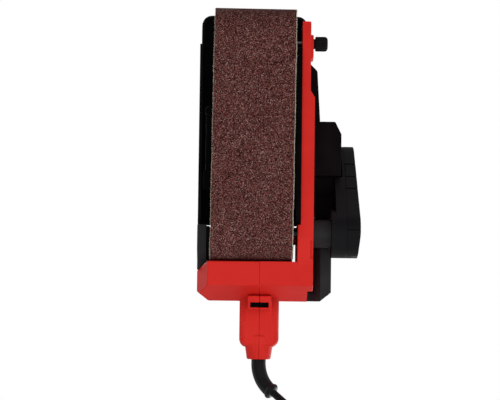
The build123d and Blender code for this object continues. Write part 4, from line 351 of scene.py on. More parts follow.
# Power cord: one smooth line from the boot to the plug, with its coil lying behind the tool
powerCord = {
    "diameter": 7 * mm,
    "route": [
        (-0.24344, 0.02183, 0.04106),
        (-0.25262, 0.03295, 0.03413),
        (-0.26650, 0.04850, 0.01600),
        (-0.28272, 0.06402, 0.00480),
        (-0.30527, 0.07223, 0.00480),
    ],
    "coilCentre": Vector((-0.331, 0.022, 0.0048)),
    "heading": math.radians(-20),
    "radius": 56 * mm,
    "pitch": 7.8 * mm,
    "halfTurns": 7,
    "tail": 20 * mm,
    "pointsPerHalf": 8,
    "length": 2.07,
}
coilFrame = Matrix.Translation(powerCord["coilCentre"]) @ Matrix.Rotation(powerCord["heading"], 4, "Z")


def coilPoints():  # half turns that wind inwards, rise by one layer and wind out again
    points = []
    count, pitch, halves = powerCord["pointsPerHalf"], powerCord["pitch"], powerCord["halfTurns"]
    radius = place = powerCord["radius"]
    side, height = 1, 0.0
    widen = 1 / math.cos(math.pi / 2 / count)  # the line touches the turn's circle between its points
    for step in range(2 * halves):
        centre = place - side * radius
        rise = pitch if step == halves else 0.0
        for i in range(count):
            share = (i + 0.5) / count
            angle = math.pi * share
            lift = height + rise * share * share * (3 - 2 * share)
            points.append(Vector((
                -side * radius * widen * math.sin(angle), centre + side * radius * widen * math.cos(angle), lift)))
        place -= 2 * side * radius
        side = -side
        height += rise
        radius += pitch / 2 if step >= halves else -pitch / 2
    centre = place - radius
    quarter = count // 2
    for i in range(quarter):
        angle = math.pi / 2 * (i + 0.5) / quarter
        points.append(Vector((-radius * widen * math.sin(angle), centre + radius * widen * math.cos(angle), height)))
    for run in (powerCord["diameter"], powerCord["tail"]):
        points.append(Vector((-radius, centre - run, height)))
    return [coilFrame @ point for point in points]


def makeCord():
    curve = bpy.data.curves.new("powerCord", "CURVE")
    curve.dimensions = "3D"
    points = [Vector(point) for point in powerCord["route"]] + coilPoints()
    spline = curve.splines.new("NURBS")
    spline.points.add(len(points) - 1)
    for control, point in zip(spline.points, points):
        control.co = (*point, 1)
    spline.order_u = 3
    spline.use_endpoint_u = True
    spline.resolution_u = 4
    curve.bevel_depth = powerCord["diameter"] / 2
    curve.bevel_resolution = 4
    curve.use_fill_caps = True
    curve.materials.append(cordPvc)
    cord = bpy.data.objects.new("powerCord", curve)
    scene.collection.objects.link(cord)
    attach(cord, "housing")
    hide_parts("power_cord", "cord_coil")
    return cord, points[-1]


cord, plugStart = makeCord()
print("cord laid")

# Plug: ribbed neck, flared body with a finger waist, two round pins; all in millimetres from the cord's end
plug = {
    "across": coilFrame.to_3x3() @ Vector((1, 0, 0)),
    "along": coilFrame.to_3x3() @ Vector((0, -1, 0)),
    "neck": [(-0.4, 3.7), (0.2, 4.5)],  # station and radius
    "rib": [(0.8, 5.0), (2.5, 5.15), (2.8, 4.3), (3.7, 4.3)],
    "ribs": 5,
    "ribStep": 3.3,
    # station, half width, half height, squareness
    "body": [
        (17.6, 5.2, 5.2, 2.0), (18.2, 7.2, 7.2, 2.6), (19.6, 8.4, 8.2, 3.0), (24.0, 12.0, 10.2, 3.6),
        (29.0, 15.8, 11.6, 4.2), (33.0, 17.2, 12.1, 4.6), (37.0, 16.7, 11.7, 4.8), (45.0, 16.6, 11.6, 4.8),
        (49.0, 17.2, 12.1, 4.8), (52.6, 17.3, 12.2, 4.8), (53.7, 16.9, 11.8, 4.8), (54.0, 16.2, 11.1, 4.8),
    ],
    "pinSpacing": 19.0,
    "pin": [(53.6, 3.3), (54.5, 3.3), (54.7, 2.4), (71.6, 2.4), (72.5, 2.0), (73.0, 1.1)],
}


def plugRing(bm, station, halfWidth, halfHeight, power=2.0, aside=0.0, count=40):
    centre = plugStart + (plug["along"] * station + plug["across"] * aside) * mm
    return squareRing(bm, centre, plug["across"], Vector((0, 0, 1)), (halfWidth * mm, halfHeight * mm), power, count)


def makePlug():
    bm = bmesh.new()
    ribs = [(station + plug["ribStep"] * i, radius) for i in range(plug["ribs"]) for station, radius in plug["rib"]]
    rings = [plugRing(bm, station, radius, radius) for station, radius in plug["neck"] + ribs]
    rings += [plugRing(bm, *section) for section in plug["body"]]
    loftRings(bm, rings)
    body = addPiece("plugBody", bm, "housing", "plug", slot="black_rubber", finish=(cordPvc,), smooth=40)
    bm = bmesh.new()
    for side in (-1, 1):
        loftRings(bm, [plugRing(bm, station, radius, radius, aside=side * plug["pinSpacing"] / 2, count=24)
                       for station, radius in plug["pin"]])
    pins = addPiece("plugPins", bm, "housing", slot="steel", finish=(nickel,), smooth=40)
    return body, pins


plugBody, plugPins = makePlug()

# Coil tie: a hook-and-loop strap round one side of the coil, its free end lapped over the top; in millimetres
coilTie = {
    "centre": coilFrame @ Vector((0, -0.0443, 0.0039)),
    "depth": 32.0,
    "height": 15.4,
    "thickness": 1.0,
    "width": 10.0,
    "corner": 4.5,
    "cornerSteps": 6,
    "lap": 15.0,
    "lapLift": 0.95,   # of the thickness, so that the lap rests in the strap below
    "chamfer": 0.3,
    "flatEdge": 0.6,   # share of the edge between its chamfers
}


def strapPath(inset):  # rounded rectangle round the bundle, across and up, from the middle of the top
    halfDepth = coilTie["depth"] / 2 + coilTie["thickness"] / 2 + inset
    halfHeight = coilTie["height"] / 2 + coilTie["thickness"] / 2 + inset
    corner = coilTie["corner"] + inset
    path = [(0, halfHeight)]
    for cornerSign, heightSign, start in ((1, 1, 90), (1, -1, 0), (-1, -1, -90), (-1, 1, -180)):
        centre = (cornerSign * (halfDepth - corner), heightSign * (halfHeight - corner))
        for step in range(coilTie["cornerSteps"] + 1):
            angle = math.radians(start - 90 * step / coilTie["cornerSteps"])
            path.append((centre[0] + corner * math.cos(angle), centre[1] + corner * math.sin(angle)))
    return path


def strapRing(bm, place, outward):
    turn = coilFrame.to_3x3()
    half, thick = coilTie["width"] / 2, coilTie["thickness"] / 2
    face, edge = half - coilTie["chamfer"], thick * coilTie["flatEdge"]
    section = [(-half, -edge), (-face, -thick), (face, -thick), (half, -edge),
               (half, edge), (face, thick), (-face, thick), (-half, edge)]
    ring = []
    for along, out in section:
        across, up = place[0] + outward[0] * out, place[1] + outward[1] * out
        ring.append(coilTie["centre"] + turn @ Vector((along, across, up)) * mm)
    return addRing(bm, ring)


def makeTie():
    bm = bmesh.new()
    path = strapPath(0.0)
    outwardPath = strapPath(1.0)
    rings = [strapRing(bm, point, (out[0] - point[0], out[1] - point[1])) for point, out in zip(path, outwardPath)]
    loftRings(bm, rings + rings[:1], capStart=False, capEnd=False)
    lapRings = []
    for share in (0.0, 0.25, 0.5, 0.75, 1.0):
        across = -coilTie["lap"] / 2 + coilTie["lap"] * share
        lapRings.append(strapRing(bm, (across, path[0][1] + coilTie["thickness"] * coilTie["lapLift"]), (0, 1)))
    loftRings(bm, lapRings)
    return addPiece("coilStrap", bm, "housing", "coil_tie", slot="black_rubber", finish=(strapNylon,), smooth=30)


coilStrap = makeTie()

# Cord boot: a smooth bent sleeve with a flared lip, its root in the boss
cordBoot = {
    "start": Vector((-0.212, 0.0075, 0.050)),
    "aside": Vector((0, 0.85, -0.53)).normalized(),
    "straight": 4 * mm,
    "bend": 30 * mm,
    "turn": math.radians(55),
    # share of the sleeve, radius in millimetres
    "profile": [(0.0, 6.9), (0.3, 6.9), (0.6, 6.75), (0.8, 6.7), (0.85, 6.75), (0.87, 7.1), (0.89, 7.6),
                (0.91, 7.9), (0.93, 7.85), (0.95, 7.5), (0.97, 6.8), (0.985, 5.9), (0.995, 4.9), (1.0, 3.9)],
    "lip": 5 * mm,
    "root": 20 * mm,
    "steps": 26,
}


def bootPlace(length):  # point and heading along the sleeve
    back, aside = Vector((-1, 0, 0)), cordBoot["aside"]
    bendStart = cordBoot["start"] + back * cordBoot["straight"]
    arc = cordBoot["bend"] * cordBoot["turn"]
    if length <= cordBoot["straight"]:
        return cordBoot["start"] + back * length, back
    angle = min(length - cordBoot["straight"], arc) / cordBoot["bend"]
    heading = back * math.cos(angle) + aside * math.sin(angle)
    point = bendStart + (back * math.sin(angle) + aside * (1 - math.cos(angle))) * cordBoot["bend"]
    return point + heading * max(0.0, length - cordBoot["straight"] - arc), heading


def makeBoot():
    bm = bmesh.new()
    whole = cordBoot["straight"] + cordBoot["bend"] * cordBoot["turn"] + cordBoot["lip"]
    steps, profile = cordBoot["steps"], cordBoot["profile"]
    stations = sorted({round(i / steps, 4) for i in range(steps + 1)} | {share for share, _ in profile})
    side = Vector((-1, 0, 0)).cross(cordBoot["aside"]).normalized()
    rings = []
    for station in [-cordBoot["root"] / whole] + stations:
        point, heading = bootPlace(station * whole)
        radius = profile[0][1]
        for (low, first), (high, last) in zip(profile, profile[1:]):
            if low <= station <= high:
                radius = first + (last - first) * (station - low) / (high - low)
        rings.append(squareRing(bm, point, side, heading.cross(side), (radius * mm, radius * mm), count=32))
    loftRings(bm, rings)
    addPiece("cordBootSleeve", bm, "housing", "cord_boot", slot="black_rubber", finish=(cordPvc,), smooth=50)


makeBoot()
print("cord fittings made")

# Sanding belt: abrasive outside, cloth inside, its edges slightly wavy as a cut cloth is
sandingBelt = {
    "halfSpan": 93.352 * mm,
    "outer": 26.0 * mm,
    "inner": 24.8 * mm,
    "axis": 26.0 * mm,
    "halfWidth": 38.0 * mm,
    "skew": math.radians(0.5),
    "runSteps": 60,
    "arcSteps": 26,
    "columns": 16,
    "edgeWave": 0.22 * mm,
    "waves": [(9, 0.6, 1.0), (23, 0.4, 2.1)],  # how many in the loop, share of the height, share of the phase
    "phases": {-1: 0.7, 1: 2.9},               # right and left edge
}
beltTurn = Matrix.Rotation(sandingBelt["skew"], 4, "Z")


def beltStations():  # distance along the loop, centre of curvature along X, and the angle of the outward normal
    stations, distance = [], 0.0
    span, radius = 2 * sandingBelt["halfSpan"], sandingBelt["outer"]
    for sign in (1, -1):
        for step in range(sandingBelt["runSteps"]):
            share = step / sandingBelt["runSteps"]
            stations.append((distance + span * share, sign * (share - 0.5) * span, -sign * math.pi / 2))
        distance += span
        for step in range(sandingBelt["arcSteps"]):
            share = step / sandingBelt["arcSteps"]
            angle = sign * (share - 0.5) * math.pi if sign > 0 else math.pi / 2 + math.pi * share
            stations.append((distance + math.pi * radius * share, sign * span / 2, angle))
        distance += math.pi * radius
    return stations, distance


def beltPoint(station, across, radius):
    distance, centre, angle = station
    point = Vector((centre + radius * math.cos(angle), across, sandingBelt["axis"] + radius * math.sin(angle)))
    return beltTurn @ point


def edgePlace(station, whole, side):  # Y of a cut edge
    turn, phase = 2 * math.pi * station[0] / whole, sandingBelt["phases"][side]
    wave = sum(share * math.sin(count * turn + shift * phase) for count, share, shift in sandingBelt["waves"])
    return side * sandingBelt["halfWidth"] + sandingBelt["edgeWave"] * wave


def makeBelt():
    bm = bmesh.new()
    stations, whole = beltStations()
    outer, inner, columns = sandingBelt["outer"], sandingBelt["inner"], sandingBelt["columns"]
    rings = []
    for station in stations:
        right, left = edgePlace(station, whole, -1), edgePlace(station, whole, 1)
        row = [right + (left - right) * i / columns for i in range(columns + 1)]
        section = [(across, outer) for across in row] + [(across, inner) for across in reversed(row)]
        rings.append(addRing(bm, [beltPoint(station, across, radius) for across, radius in section]))
    loftRings(bm, rings + rings[:1], capStart=False, capEnd=False, index=1)
    for number, face in enumerate(bm.faces):
        if number % len(section) < columns:  # the outer side comes first in each row
            face.material_index = 0
    addPiece("abrasiveBelt", bm, "housing", "sanding_belt", slot="abrasive_cloth", finish=(abrasive, backingCloth),
             smooth=40)
    return stations, whole


beltLine, beltWhole = makeBelt()
print("sanding belt made")


# Geometry Nodes for what repeats
def newGroup(name, **inputs):  # geometry node group with named inputs, as (group, input node, output node)
    group = bpy.data.node_groups.new(name, "GeometryNodeTree")
    group.interface.new_socket("Geometry", in_out="INPUT", socket_type="NodeSocketGeometry")
    for label, kind in inputs.items():
        group.interface.new_socket(label, in_out="INPUT", socket_type=f"NodeSocket{kind}")
    group.interface.new_socket("Geometry", in_out="OUTPUT", socket_type="NodeSocketGeometry")
    return group, addNode(group, "NodeGroupInput"), addNode(group, "NodeGroupOutput")


def finishCopies(group, start, end, copies):  # turn copies into one mesh and give it the group's finish
    real = addNode(group, "GeometryNodeRealizeInstances", links={0: copies})
    addNode(group, "GeometryNodeSetMaterial", links={"Geometry": real, "Material": start.outputs["Finish"]},
            into=end.inputs[0])


def grow(name, points, edges, group, **values):  # run a node group over points and keep the mesh it makes
    mesh = bpy.data.meshes.new(name)
    mesh.from_pydata(points, edges, [])
    base = bpy.data.objects.new(name, mesh)
    scene.collection.objects.link(base)
    modifier = base.modifiers.new("grow", "NODES")
    modifier.node_group = group
    sockets = {item.name: item.identifier for item in group.interface.items_tree if item.in_out == "INPUT"}
    for label, value in values.items():
        modifier[sockets[label]] = value
    bpy.context.view_layer.update()
    grown = bpy.data.meshes.new_from_object(base.evaluated_get(bpy.context.evaluated_depsgraph_get()))
    bpy.data.objects.remove(base)
    bpy.data.meshes.remove(mesh)
    return grown


def makeRepeatGroup():  # one small mesh on every point, all turned alike
    group, start, end = newGroup("repeatOnPoints", Source="Object", Turn="Vector", Finish="Material")
    source = addNode(group, "GeometryNodeObjectInfo", {"As Instance": True}, {"Object": start.outputs["Source"]})
    turn = addNode(group, "FunctionNodeEulerToRotation", links={0: start.outputs["Turn"]})
    copies = addNode(group, "GeometryNodeInstanceOnPoints", links={
        "Points": start, "Instance": source.outputs["Geometry"], "Rotation": turn})
    finishCopies(group, start, end, copies)
    return group


repeatGroup = makeRepeatGroup()


def repeatMesh(name, points, bm, turn, material):
    mesh = bpy.data.meshes.new(name)
    bmesh.ops.recalc_face_normals(bm, faces=bm.faces)
    bm.to_mesh(mesh)
    bm.free()
    smoothShade(mesh, 35)
    source = bpy.data.objects.new(f"{name}Source", mesh)
    scene.collection.objects.link(source)
    grown = grow(name, points, [], repeatGroup, Source=source, Turn=turn, Finish=material)
    bpy.data.objects.remove(source)
    bpy.data.meshes.remove(mesh)
    return grown


# Loose cotton ends along both cut edges of the belt
beltThreads = {
    "counts": {-1: 3000, 1: 7000},  # right and left edge
    "seeds": {-1: 4, 1: 9},
    "length": 1.5 * mm,
    "radius": 0.08 * mm,
    "sizes": (0.25, 1.0),           # shares of that length and radius
    "leans": ((-0.75, -0.3, -1.1), (0.45, 0.3, 1.1)),  # least and most turn off straight out, radians
}


def makeThreadGroup():
    group, start, end = newGroup(
        "looseThreads", Count="Int", Length="Float", Radius="Float", Side="Float", Seed="Int", Finish="Material")
    line = addNode(group, "GeometryNodeMeshToCurve", links={0: start})
    spots = addNode(group, "GeometryNodeCurveToPoints", links={0: line, "Count": start.outputs["Count"]},
                    mode="COUNT")
    thread = addNode(group, "GeometryNodeMeshCone", {"Vertices": 4, "Side Segments": 1}, {
        "Radius Bottom": start.outputs["Radius"], "Depth": start.outputs["Length"]})
    lean = addNode(group, "FunctionNodeRandomValue", dict(enumerate(beltThreads["leans"])),
                   {"Seed": start.outputs["Seed"]}, data_type="FLOAT_VECTOR")
    quarter = addNode(group, "ShaderNodeMath", {1: -math.pi / 2}, {0: start.outputs["Side"]}, operation="MULTIPLY")
    outward = addNode(group, "ShaderNodeCombineXYZ", links={0: quarter})
    turn = addNode(group, "ShaderNodeVectorMath", links={0: outward, 1: lean}, operation="ADD")
    rotation = addNode(group, "FunctionNodeEulerToRotation", links={0: turn})
    size = addNode(group, "FunctionNodeRandomValue", dict(enumerate(beltThreads["sizes"], 2)),
                   {"Seed": start.outputs["Seed"]})
    copies = addNode(group, "GeometryNodeInstanceOnPoints", links={
        "Points": spots, "Instance": thread, "Rotation": rotation, "Scale": size.outputs[1]})
    finishCopies(group, start, end, copies)
    return group


def makeThreads():
    group = makeThreadGroup()
    middle = (sandingBelt["outer"] + sandingBelt["inner"]) / 2
    for side, name in ((-1, "beltThreadsRight"), (1, "beltThreadsLeft")):
        points = [beltPoint(station, edgePlace(station, beltWhole, side), middle) for station in beltLine]
        edges = [(i, (i + 1) % len(points)) for i in range(len(points))]
        mesh = grow(name, points, edges, group, Count=beltThreads["counts"][side], Length=beltThreads["length"],
                    Radius=beltThreads["radius"], Side=float(side), Seed=beltThreads["seeds"][side],
                    Finish=threadCotton)
        addPiece(name, mesh, "housing", slot="abrasive_cloth", smooth=60)


makeThreads()
print("belt edges frayed")

# Tracking knob: a neck and a fluted cap with a rounded rim
trackingKnob = {
    "flutes": 16,
    "fluteDepth": 0.95,
    "fluteShape": 1.5,  # above 1 the ridges are wider than the hollows
    "pointsPerFlute": 8,
    # millimetres from the inner end of the neck, radius, share of the flute's depth
    "profile": [
        (0.0, 4.4, 0.0), (0.2, 4.8, 0.0), (1.55, 4.8, 0.0), (1.6, 6.2, 0.3), (1.85, 6.7, 1.0), (2.3, 6.98, 1.0),
        (5.0, 6.98, 1.0), (8.0, 6.98, 1.0), (10.6, 6.98, 1.0), (11.6, 6.75, 0.9), (12.4, 6.25, 0.6),
        (13.0, 5.5, 0.25), (13.3, 4.6, 0.0), (13.38, 3.8, 0.0), (13.2, 3.4, 0.0), (13.1, 1.2, 0.0),
    ],
}


def makeKnob():
    low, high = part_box("tracking_knob")
    centre = (low + high) / 2
    bm = bmesh.new()
    rings = []
    for station, radius, share in trackingKnob["profile"]:
        centre.y = low.y + station * mm
        rings.append(flutedRing(
            bm, centre, radius * mm, trackingKnob["fluteDepth"] * share * mm, trackingKnob["flutes"],
            trackingKnob["pointsPerFlute"], trackingKnob["fluteShape"]))
    loftRings(bm, rings)
    addPiece("trackingKnobCap", bm, nodes["tracking_knob"]["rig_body"], "tracking_knob", finish=(blackNylon,),
             smooth=50)


makeKnob()
print("tracking knob made")

# Pan head screws with a cross recess, one mesh on every place
screws = {
    # shares of the head's radius and height, from under the head to its top
    "head": [(0.4, -1.0), (0.96, -1.0), (1.0, -0.85), (1.0, -0.45), (0.95, -0.16), (0.8, 0.0)],
    "headCount": 24,
    "crossWidth": 0.2,   # shares of the head's radius
    "crossReach": 0.62,
    "crossTaper": 0.8,
    "crossDepth": 0.5,   # shares of the head's height
    "shankStart": 0.9,
    "shankCount": 12,
}
# sizes in millimetres, places in X and Z
housingScrews = {
    "head": 3.2, "height": 2.4, "shank": 1.7, "places": [(-159, 131), (-184, 112), (-191, 68), (-172, 61)]}
coverScrews = {"head": 3.4, "height": 2.4, "shank": 1.8}


def screwMesh(kind, length):  # head up along Z, its top at the origin
    head, height, shank = kind["head"] * mm, kind["height"] * mm, kind["shank"] * mm
    bm = bmesh.new()
    rings = [roundRing(bm, Vector((0, 0, height * level)), head * share, screws["headCount"])
             for share, level in screws["head"]]
    loftRings(bm, rings, capEnd=False)
    half, reach = head * screws["crossWidth"], head * screws["crossReach"]
    outline = [Matrix.Rotation(math.pi / 2 * quarter, 3, "Z") @ Vector((*corner, 0))
               for quarter in range(4) for corner in ((half, half), (half, reach), (-half, reach))]
    top = addRing(bm, outline)
    sunk = Vector((0, 0, -height * screws["crossDepth"]))
    loftRings(bm, [top, addRing(bm, [point * screws["crossTaper"] + sunk for point in outline])], capStart=False)
    pairs = [pair for ring in (rings[-1], top) for pair in zip(ring, ring[1:] + ring[:1])]
    bmesh.ops.triangle_fill(bm, use_beauty=True, edges=[bm.edges.get(pair) for pair in pairs])
    loftRings(bm, [roundRing(bm, Vector((0, 0, level)), shank, screws["shankCount"])
                   for level in (-height * screws["shankStart"], -length)])
    return bm


def makeScrews():
    low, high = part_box("housing_screws")
    points = [(x * mm, low.y, z * mm) for x, z in housingScrews["places"]]
    bm = screwMesh(housingScrews, high.y - low.y)
    mesh = repeatMesh("housingScrewSet", points, bm, (math.pi / 2, 0, 0), steel)
    addPiece("housingScrewSet", mesh, "housing", "housing_screws", slot="steel")
    low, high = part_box("drive_cover_screws")
    reach = coverScrews["head"] * mm
    points = [(low.x + reach, high.y, low.z + reach), (high.x - reach, high.y, high.z - reach)]
    bm = screwMesh(coverScrews, high.y - low.y)
    mesh = repeatMesh("driveCoverScrewSet", points, bm, (-math.pi / 2, 0, 0), steel)
    addPiece("driveCoverScrewSet", mesh, "housing", "drive_cover_screws", slot="steel")


makeScrews()
print("screws set")

# Grip pads: soft rubber, ribbed across on the handle and ringed on the front grip
rearPad = {
    "middle": 7.5,      # Y of the handle, in millimetres as all here
    "halfWidth": 10.0,
    "leastHalf": 0.4,
    "corner": 5.0,
    "thick": 1.8,
    "wall": 1.2,        # height where the side wall ends
    "fade": 2.0,        # length over which the ends run out
    "lift": 0.05,
    "crown": 0.08,
    "ribs": 17,
    "ribHeight": 0.5,
    "across": 10,
    "steps": 170,
}
frontPad = {
    # radius and height in millimetres, from the rim inwards
    "rim": [(18.0, 0.0), (21.0, 0.0), (21.0, 0.9), (20.7, 1.7), (20.0, 2.3), (19.0, 2.6)],
    "ring": [(0.15, 0.0), (0.35, 1.0), (0.65, 1.0), (0.85, 0.0)],  # shares of a ring's step and height
    "ringStep": 2.4,
    "ringHeight": 0.7,
    "dome": (2.5, 3.2),  # height under the rings at the rim and in the middle
    "count": 64,
}


def makeRearPad():
    low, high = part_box("rear_grip_pad")
    length = (high.x - low.x) / mm
    fall = (high.z - low.z) / mm - rearPad["thick"]  # the handle's top falls towards the rear
    half, corner, wall = rearPad["halfWidth"], rearPad["corner"], rearPad["wall"]
    bm = bmesh.new()
    rings = []
    for step in range(rearPad["steps"] + 1):
        share = step / rearPad["steps"]
        fromEnd = min(share, 1 - share) * length
        inCorner = max(0.0, corner - fromEnd)
        width = max(half - corner + math.sqrt(max(0.0, corner ** 2 - inCorner ** 2)), rearPad["leastHalf"])
        base = low.z / mm + fall * (1 - share)
        fade = min(1.0, fromEnd / rearPad["fade"])
        rib = rearPad["ribHeight"] * max(0.0, math.cos(2 * math.pi * rearPad["ribs"] * (share - 0.5)))
        section = [(-1, 0.0), (-1, rearPad["lift"] + fade * wall)]
        for i in range(1, rearPad["across"]):
            place = -1 + 2 * i / rearPad["across"]
            crown = (rearPad["crown"] + rib) * math.sqrt(max(0.0, 1 - abs(place) ** 4))
            section.append((place, rearPad["lift"] + fade * (wall + crown)))
        section += [(1, rearPad["lift"] + fade * wall), (1, 0.0)]
        rings.append(addRing(bm, [
            Vector((high.x / mm - share * length, rearPad["middle"] + width * place, base + height)) * mm
            for place, height in section]))
    loftRings(bm, rings)
    addPiece("rearGripPad", bm, "housing", "rear_grip_pad", slot="black_rubber", finish=(gripRubber,), smooth=40)


def makeFrontPad():
    low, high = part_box("front_grip_pad")
    centre = (low + high) / 2
    profile = list(frontPad["rim"])
    edge, middle = frontPad["dome"]
    whole = radius = profile[-1][0]
    while radius > frontPad["ringStep"]:
        for share, lift in frontPad["ring"]:
            reach = radius - frontPad["ringStep"] * share
            dome = edge + (middle - edge) * (1 - (reach / whole) ** 2)
            profile.append((reach, dome + frontPad["ringHeight"] * lift))
        radius -= frontPad["ringStep"]
    bm = bmesh.new()
    rings = [roundRing(bm, Vector((centre.x, centre.y, low.z + height * mm)), reach * mm, frontPad["count"])
             for reach, height in profile]
    loftRings(bm, rings)
    addPiece("frontGripPad", bm, "housing", "front_grip_pad", slot="black_rubber", finish=(gripRubber,), smooth=35)


makeRearPad()
makeFrontPad()
print("grip pads made")

# Speed dial: knurled at both rims, with printed numbers on the band between
speedDial = {
    "notches": 40,
    "notchDepth": 0.35,
    "pointsPerNotch": 6,
    "band": 0.5,         # millimetres inside the CAD radius
    # share of the width, millimetres inside the CAD radius, share of the notch's depth
    "profile": [
        (0.0, 1.2, 0.0), (0.02, 0.5, 0.4), (0.06, 0.1, 1.0), (0.26, 0.1, 1.0), (0.3, 0.5, 0.0), (0.7, 0.5, 0.0),
        (0.74, 0.1, 1.0), (0.94, 0.1, 1.0), (0.98, 0.5, 0.4), (1.0, 1.2, 0.0),
    ],
    "numbers": 6,
    "numberStep": math.radians(54),  # the dial's 270 degrees shared among six numbers
    "numberHeight": 2.7 * mm,
    "figureShare": 0.7,              # height of a figure in its font's size
    "numberThick": 0.06 * mm,
}


def makeDial():
    low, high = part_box("speed_dial")
    centre, outer = (low + high) / 2, (high.z - low.z) / 2
    bm = bmesh.new()
    rings = []
    for share, inset, depth in speedDial["profile"]:
        place = Vector((centre.x, low.y + (high.y - low.y) * share, centre.z))
        rings.append(flutedRing(bm, place, outer - inset * mm, speedDial["notchDepth"] * depth * mm,
                                speedDial["notches"], speedDial["pointsPerNotch"]))
    loftRings(bm, rings)
    addPiece("speedDialWheel", bm, nodes["speed_dial"]["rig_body"], "speed_dial", finish=(blackNylon,), smooth=40)
    return centre, outer - speedDial["band"] * mm


def makeDialNumbers(centre, radius):
    bm = bmesh.new()
    upright = Matrix.Translation((0, 0, radius)) @ Matrix.Rotation(-math.pi / 2, 4, "Z")
    for number in range(speedDial["numbers"]):
        text = bpy.data.curves.new("dialNumber", "FONT")
        text.body = str(number + 1)
        text.align_x, text.align_y = "CENTER", "CENTER"
        text.size = speedDial["numberHeight"] / speedDial["figureShare"]
        text.extrude = speedDial["numberThick"]
        text.resolution_u = 3
        printed = bpy.data.objects.new("dialNumber", text)
        mesh = bpy.data.meshes.new_from_object(printed)
        angle = speedDial["numberStep"] * (number - (speedDial["numbers"] - 1) / 2)
        mesh.transform(Matrix.Translation(centre) @ Matrix.Rotation(-angle, 4, "Y") @ upright)
        bm.from_mesh(mesh)
        bpy.data.meshes.remove(mesh)
        bpy.data.objects.remove(printed)
        bpy.data.curves.remove(text)
    bmesh.ops.remove_doubles(bm, verts=bm.verts, dist=0.002 * mm)
    addPiece("speedDialNumbers", bm, nodes["speed_dial"]["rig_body"], slot="black_plastic", finish=(markInk,))


makeDialNumbers(*makeDial())
print("speed dial made")

# Painted shade in the clamp slot: a thin black sheet on the floor and the inner half of the walls, standing for the
# shadow deep in the slot
clampSlotShade = {
    "centre": Vector((-0.16065, 0.0075, 0)),
    "half": (2.25 * mm, 8.6 * mm),
    "mouth": 28.2 * mm,
    "floor": 34.98 * mm,
    "gap": 0.02 * mm,
    "thick": 0.1 * mm,
}


def makeSlotShadeSheet():
    mouth, floor, gap, thick = (clampSlotShade[key] for key in ("mouth", "floor", "gap", "thick"))
    bm = bmesh.new()
    rings = []
    for inset, height in ((gap, floor), (gap, mouth), (thick, mouth), (thick, floor - thick)):
        halfX, halfY = clampSlotShade["half"][0] - inset, clampSlotShade["half"][1] - inset
        rings.append(addRing(bm, [
            clampSlotShade["centre"] + Vector((sx * halfX, sy * halfY, height))
            for sx, sy in ((1, 1), (-1, 1), (-1, -1), (1, -1))]))
    loftRings(bm, rings)
    # the sheet takes the darker nylon copy: painted shade
    addPiece("clampSlotLiner", bm, "housing", slot="black_plastic", finish=(paintedShadeNylon,))


makeSlotShadeSheet()
print("clamp slot shade sheet laid")


def makeSpring():
    bm = bmesh.new()
    bm.from_mesh(nodes["tension_spring"].data)
    bmesh.ops.remove_doubles(bm, verts=bm.verts, dist=0.001 * mm)
    spring = addPiece("tensionSpringCoil", bm, nodes["tension_spring"]["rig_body"], "tension_spring", slot="steel",
                      finish=(steel,))
    spring.data.shade_smooth()
    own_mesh(spring)


makeSpring()
print("tension spring made")

# Softened shells: each is its CAD solid with the moulded edge rounding that the real piece has, in millimetres
shells = {
    "left_housing": 0.8, "right_housing": 0.8, "top_cover": 0.9, "rear_guard": 0.6, "fan_scroll": 0.7,
    "bearing_tube": 0.6, "drive_cover": 0.9, "drive_backplate": 0.5, "dust_outlet": 0.6, "motor_housing": 0.3,
    "motor_end_cap": 0.25, "main_frame": 0.6, "trigger": 0.8, "lock_button": 0.5, "tension_lever": 0.6,
    "front_grip": 0.6, "brush_caps": 0.3, "switch_body": 0.4,
}
rounding = {
    "sharp": 33,          # degrees from which an edge is rounded
    "flat": 0.4,          # degrees below which two faces are one
    "straight": -0.8,     # cosine between two edges that run on
    "room": 0.42,         # share of a neighbouring edge that a rounding may take
    "least": 0.12,        # share of the full width below which an edge stays sharp
    "segments": 2,
    "fold": 2e-7,         # square metres by which a folded face misses its area
    "turned": 0.5,        # cosine to its face below which a triangle is folded
    "halvings": 8,
    "tries": 12,
    "near": 2,            # how many widths round a fold are eased
}


def edgeRoom(sharp):  # how far an edge's rounding may reach at each corner before it meets another edge
    room = {}
    for vert in {vert for edge in sharp for vert in edge.verts}:
        around = [other for other in vert.link_edges if other in sharp]
        ways = [(other.other_vert(vert).co - vert.co).normalized() for other in around]
        runsOn = len(around) == 2 and ways[0].dot(ways[1]) < rounding["straight"]
        lengths = [other.calc_length() for other in vert.link_edges if other not in sharp or not runsOn]
        room[vert] = rounding["room"] * min(lengths, default=math.inf)
    return room


def foldedSpots(mesh):  # corners where a rounded face folds over itself
    mesh.calc_loop_triangles()
    covered = [0.0] * len(mesh.polygons)
    for triangle in mesh.loop_triangles:
        covered[triangle.polygon_index] += triangle.area
    folded = {face.index: face.normal.copy() for face in mesh.polygons
              if abs(covered[face.index] - face.area) > rounding["fold"]}
    spots = []
    for triangle in mesh.loop_triangles:
        face = triangle.polygon_index
        if face in folded and triangle.normal.dot(folded[face]) < rounding["turned"]:
            spots += [mesh.vertices[i].co.copy() for i in triangle.vertices]
    return spots or [mesh.vertices[i].co.copy() for index in folded for i in mesh.polygons[index].vertices]


def easeEdges(shell, reach):  # round less where faces would fold, until none does
    weights = shell.data.attributes["bevel_weight_edge"].data
    for attempt in range(rounding["tries"]):
        evaluated = shell.evaluated_get(bpy.context.evaluated_depsgraph_get())
        spots = foldedSpots(evaluated.to_mesh())
        evaluated.to_mesh_clear()
        if not spots:
            return attempt
        tree = KDTree(len(spots))
        for number, spot in enumerate(spots):
            tree.insert(spot, number)
        tree.balance()
        for edge in shell.data.edges:
            near = min(tree.find(shell.data.vertices[i].co)[2] for i in edge.vertices)
            if near < reach and weights[edge.index].value > 0:
                weights[edge.index].value *= 0.5 if attempt < rounding["halvings"] else 0.0
        shell.data.update()
        shell.update_tag()
        bpy.context.view_layer.update()
    return -1


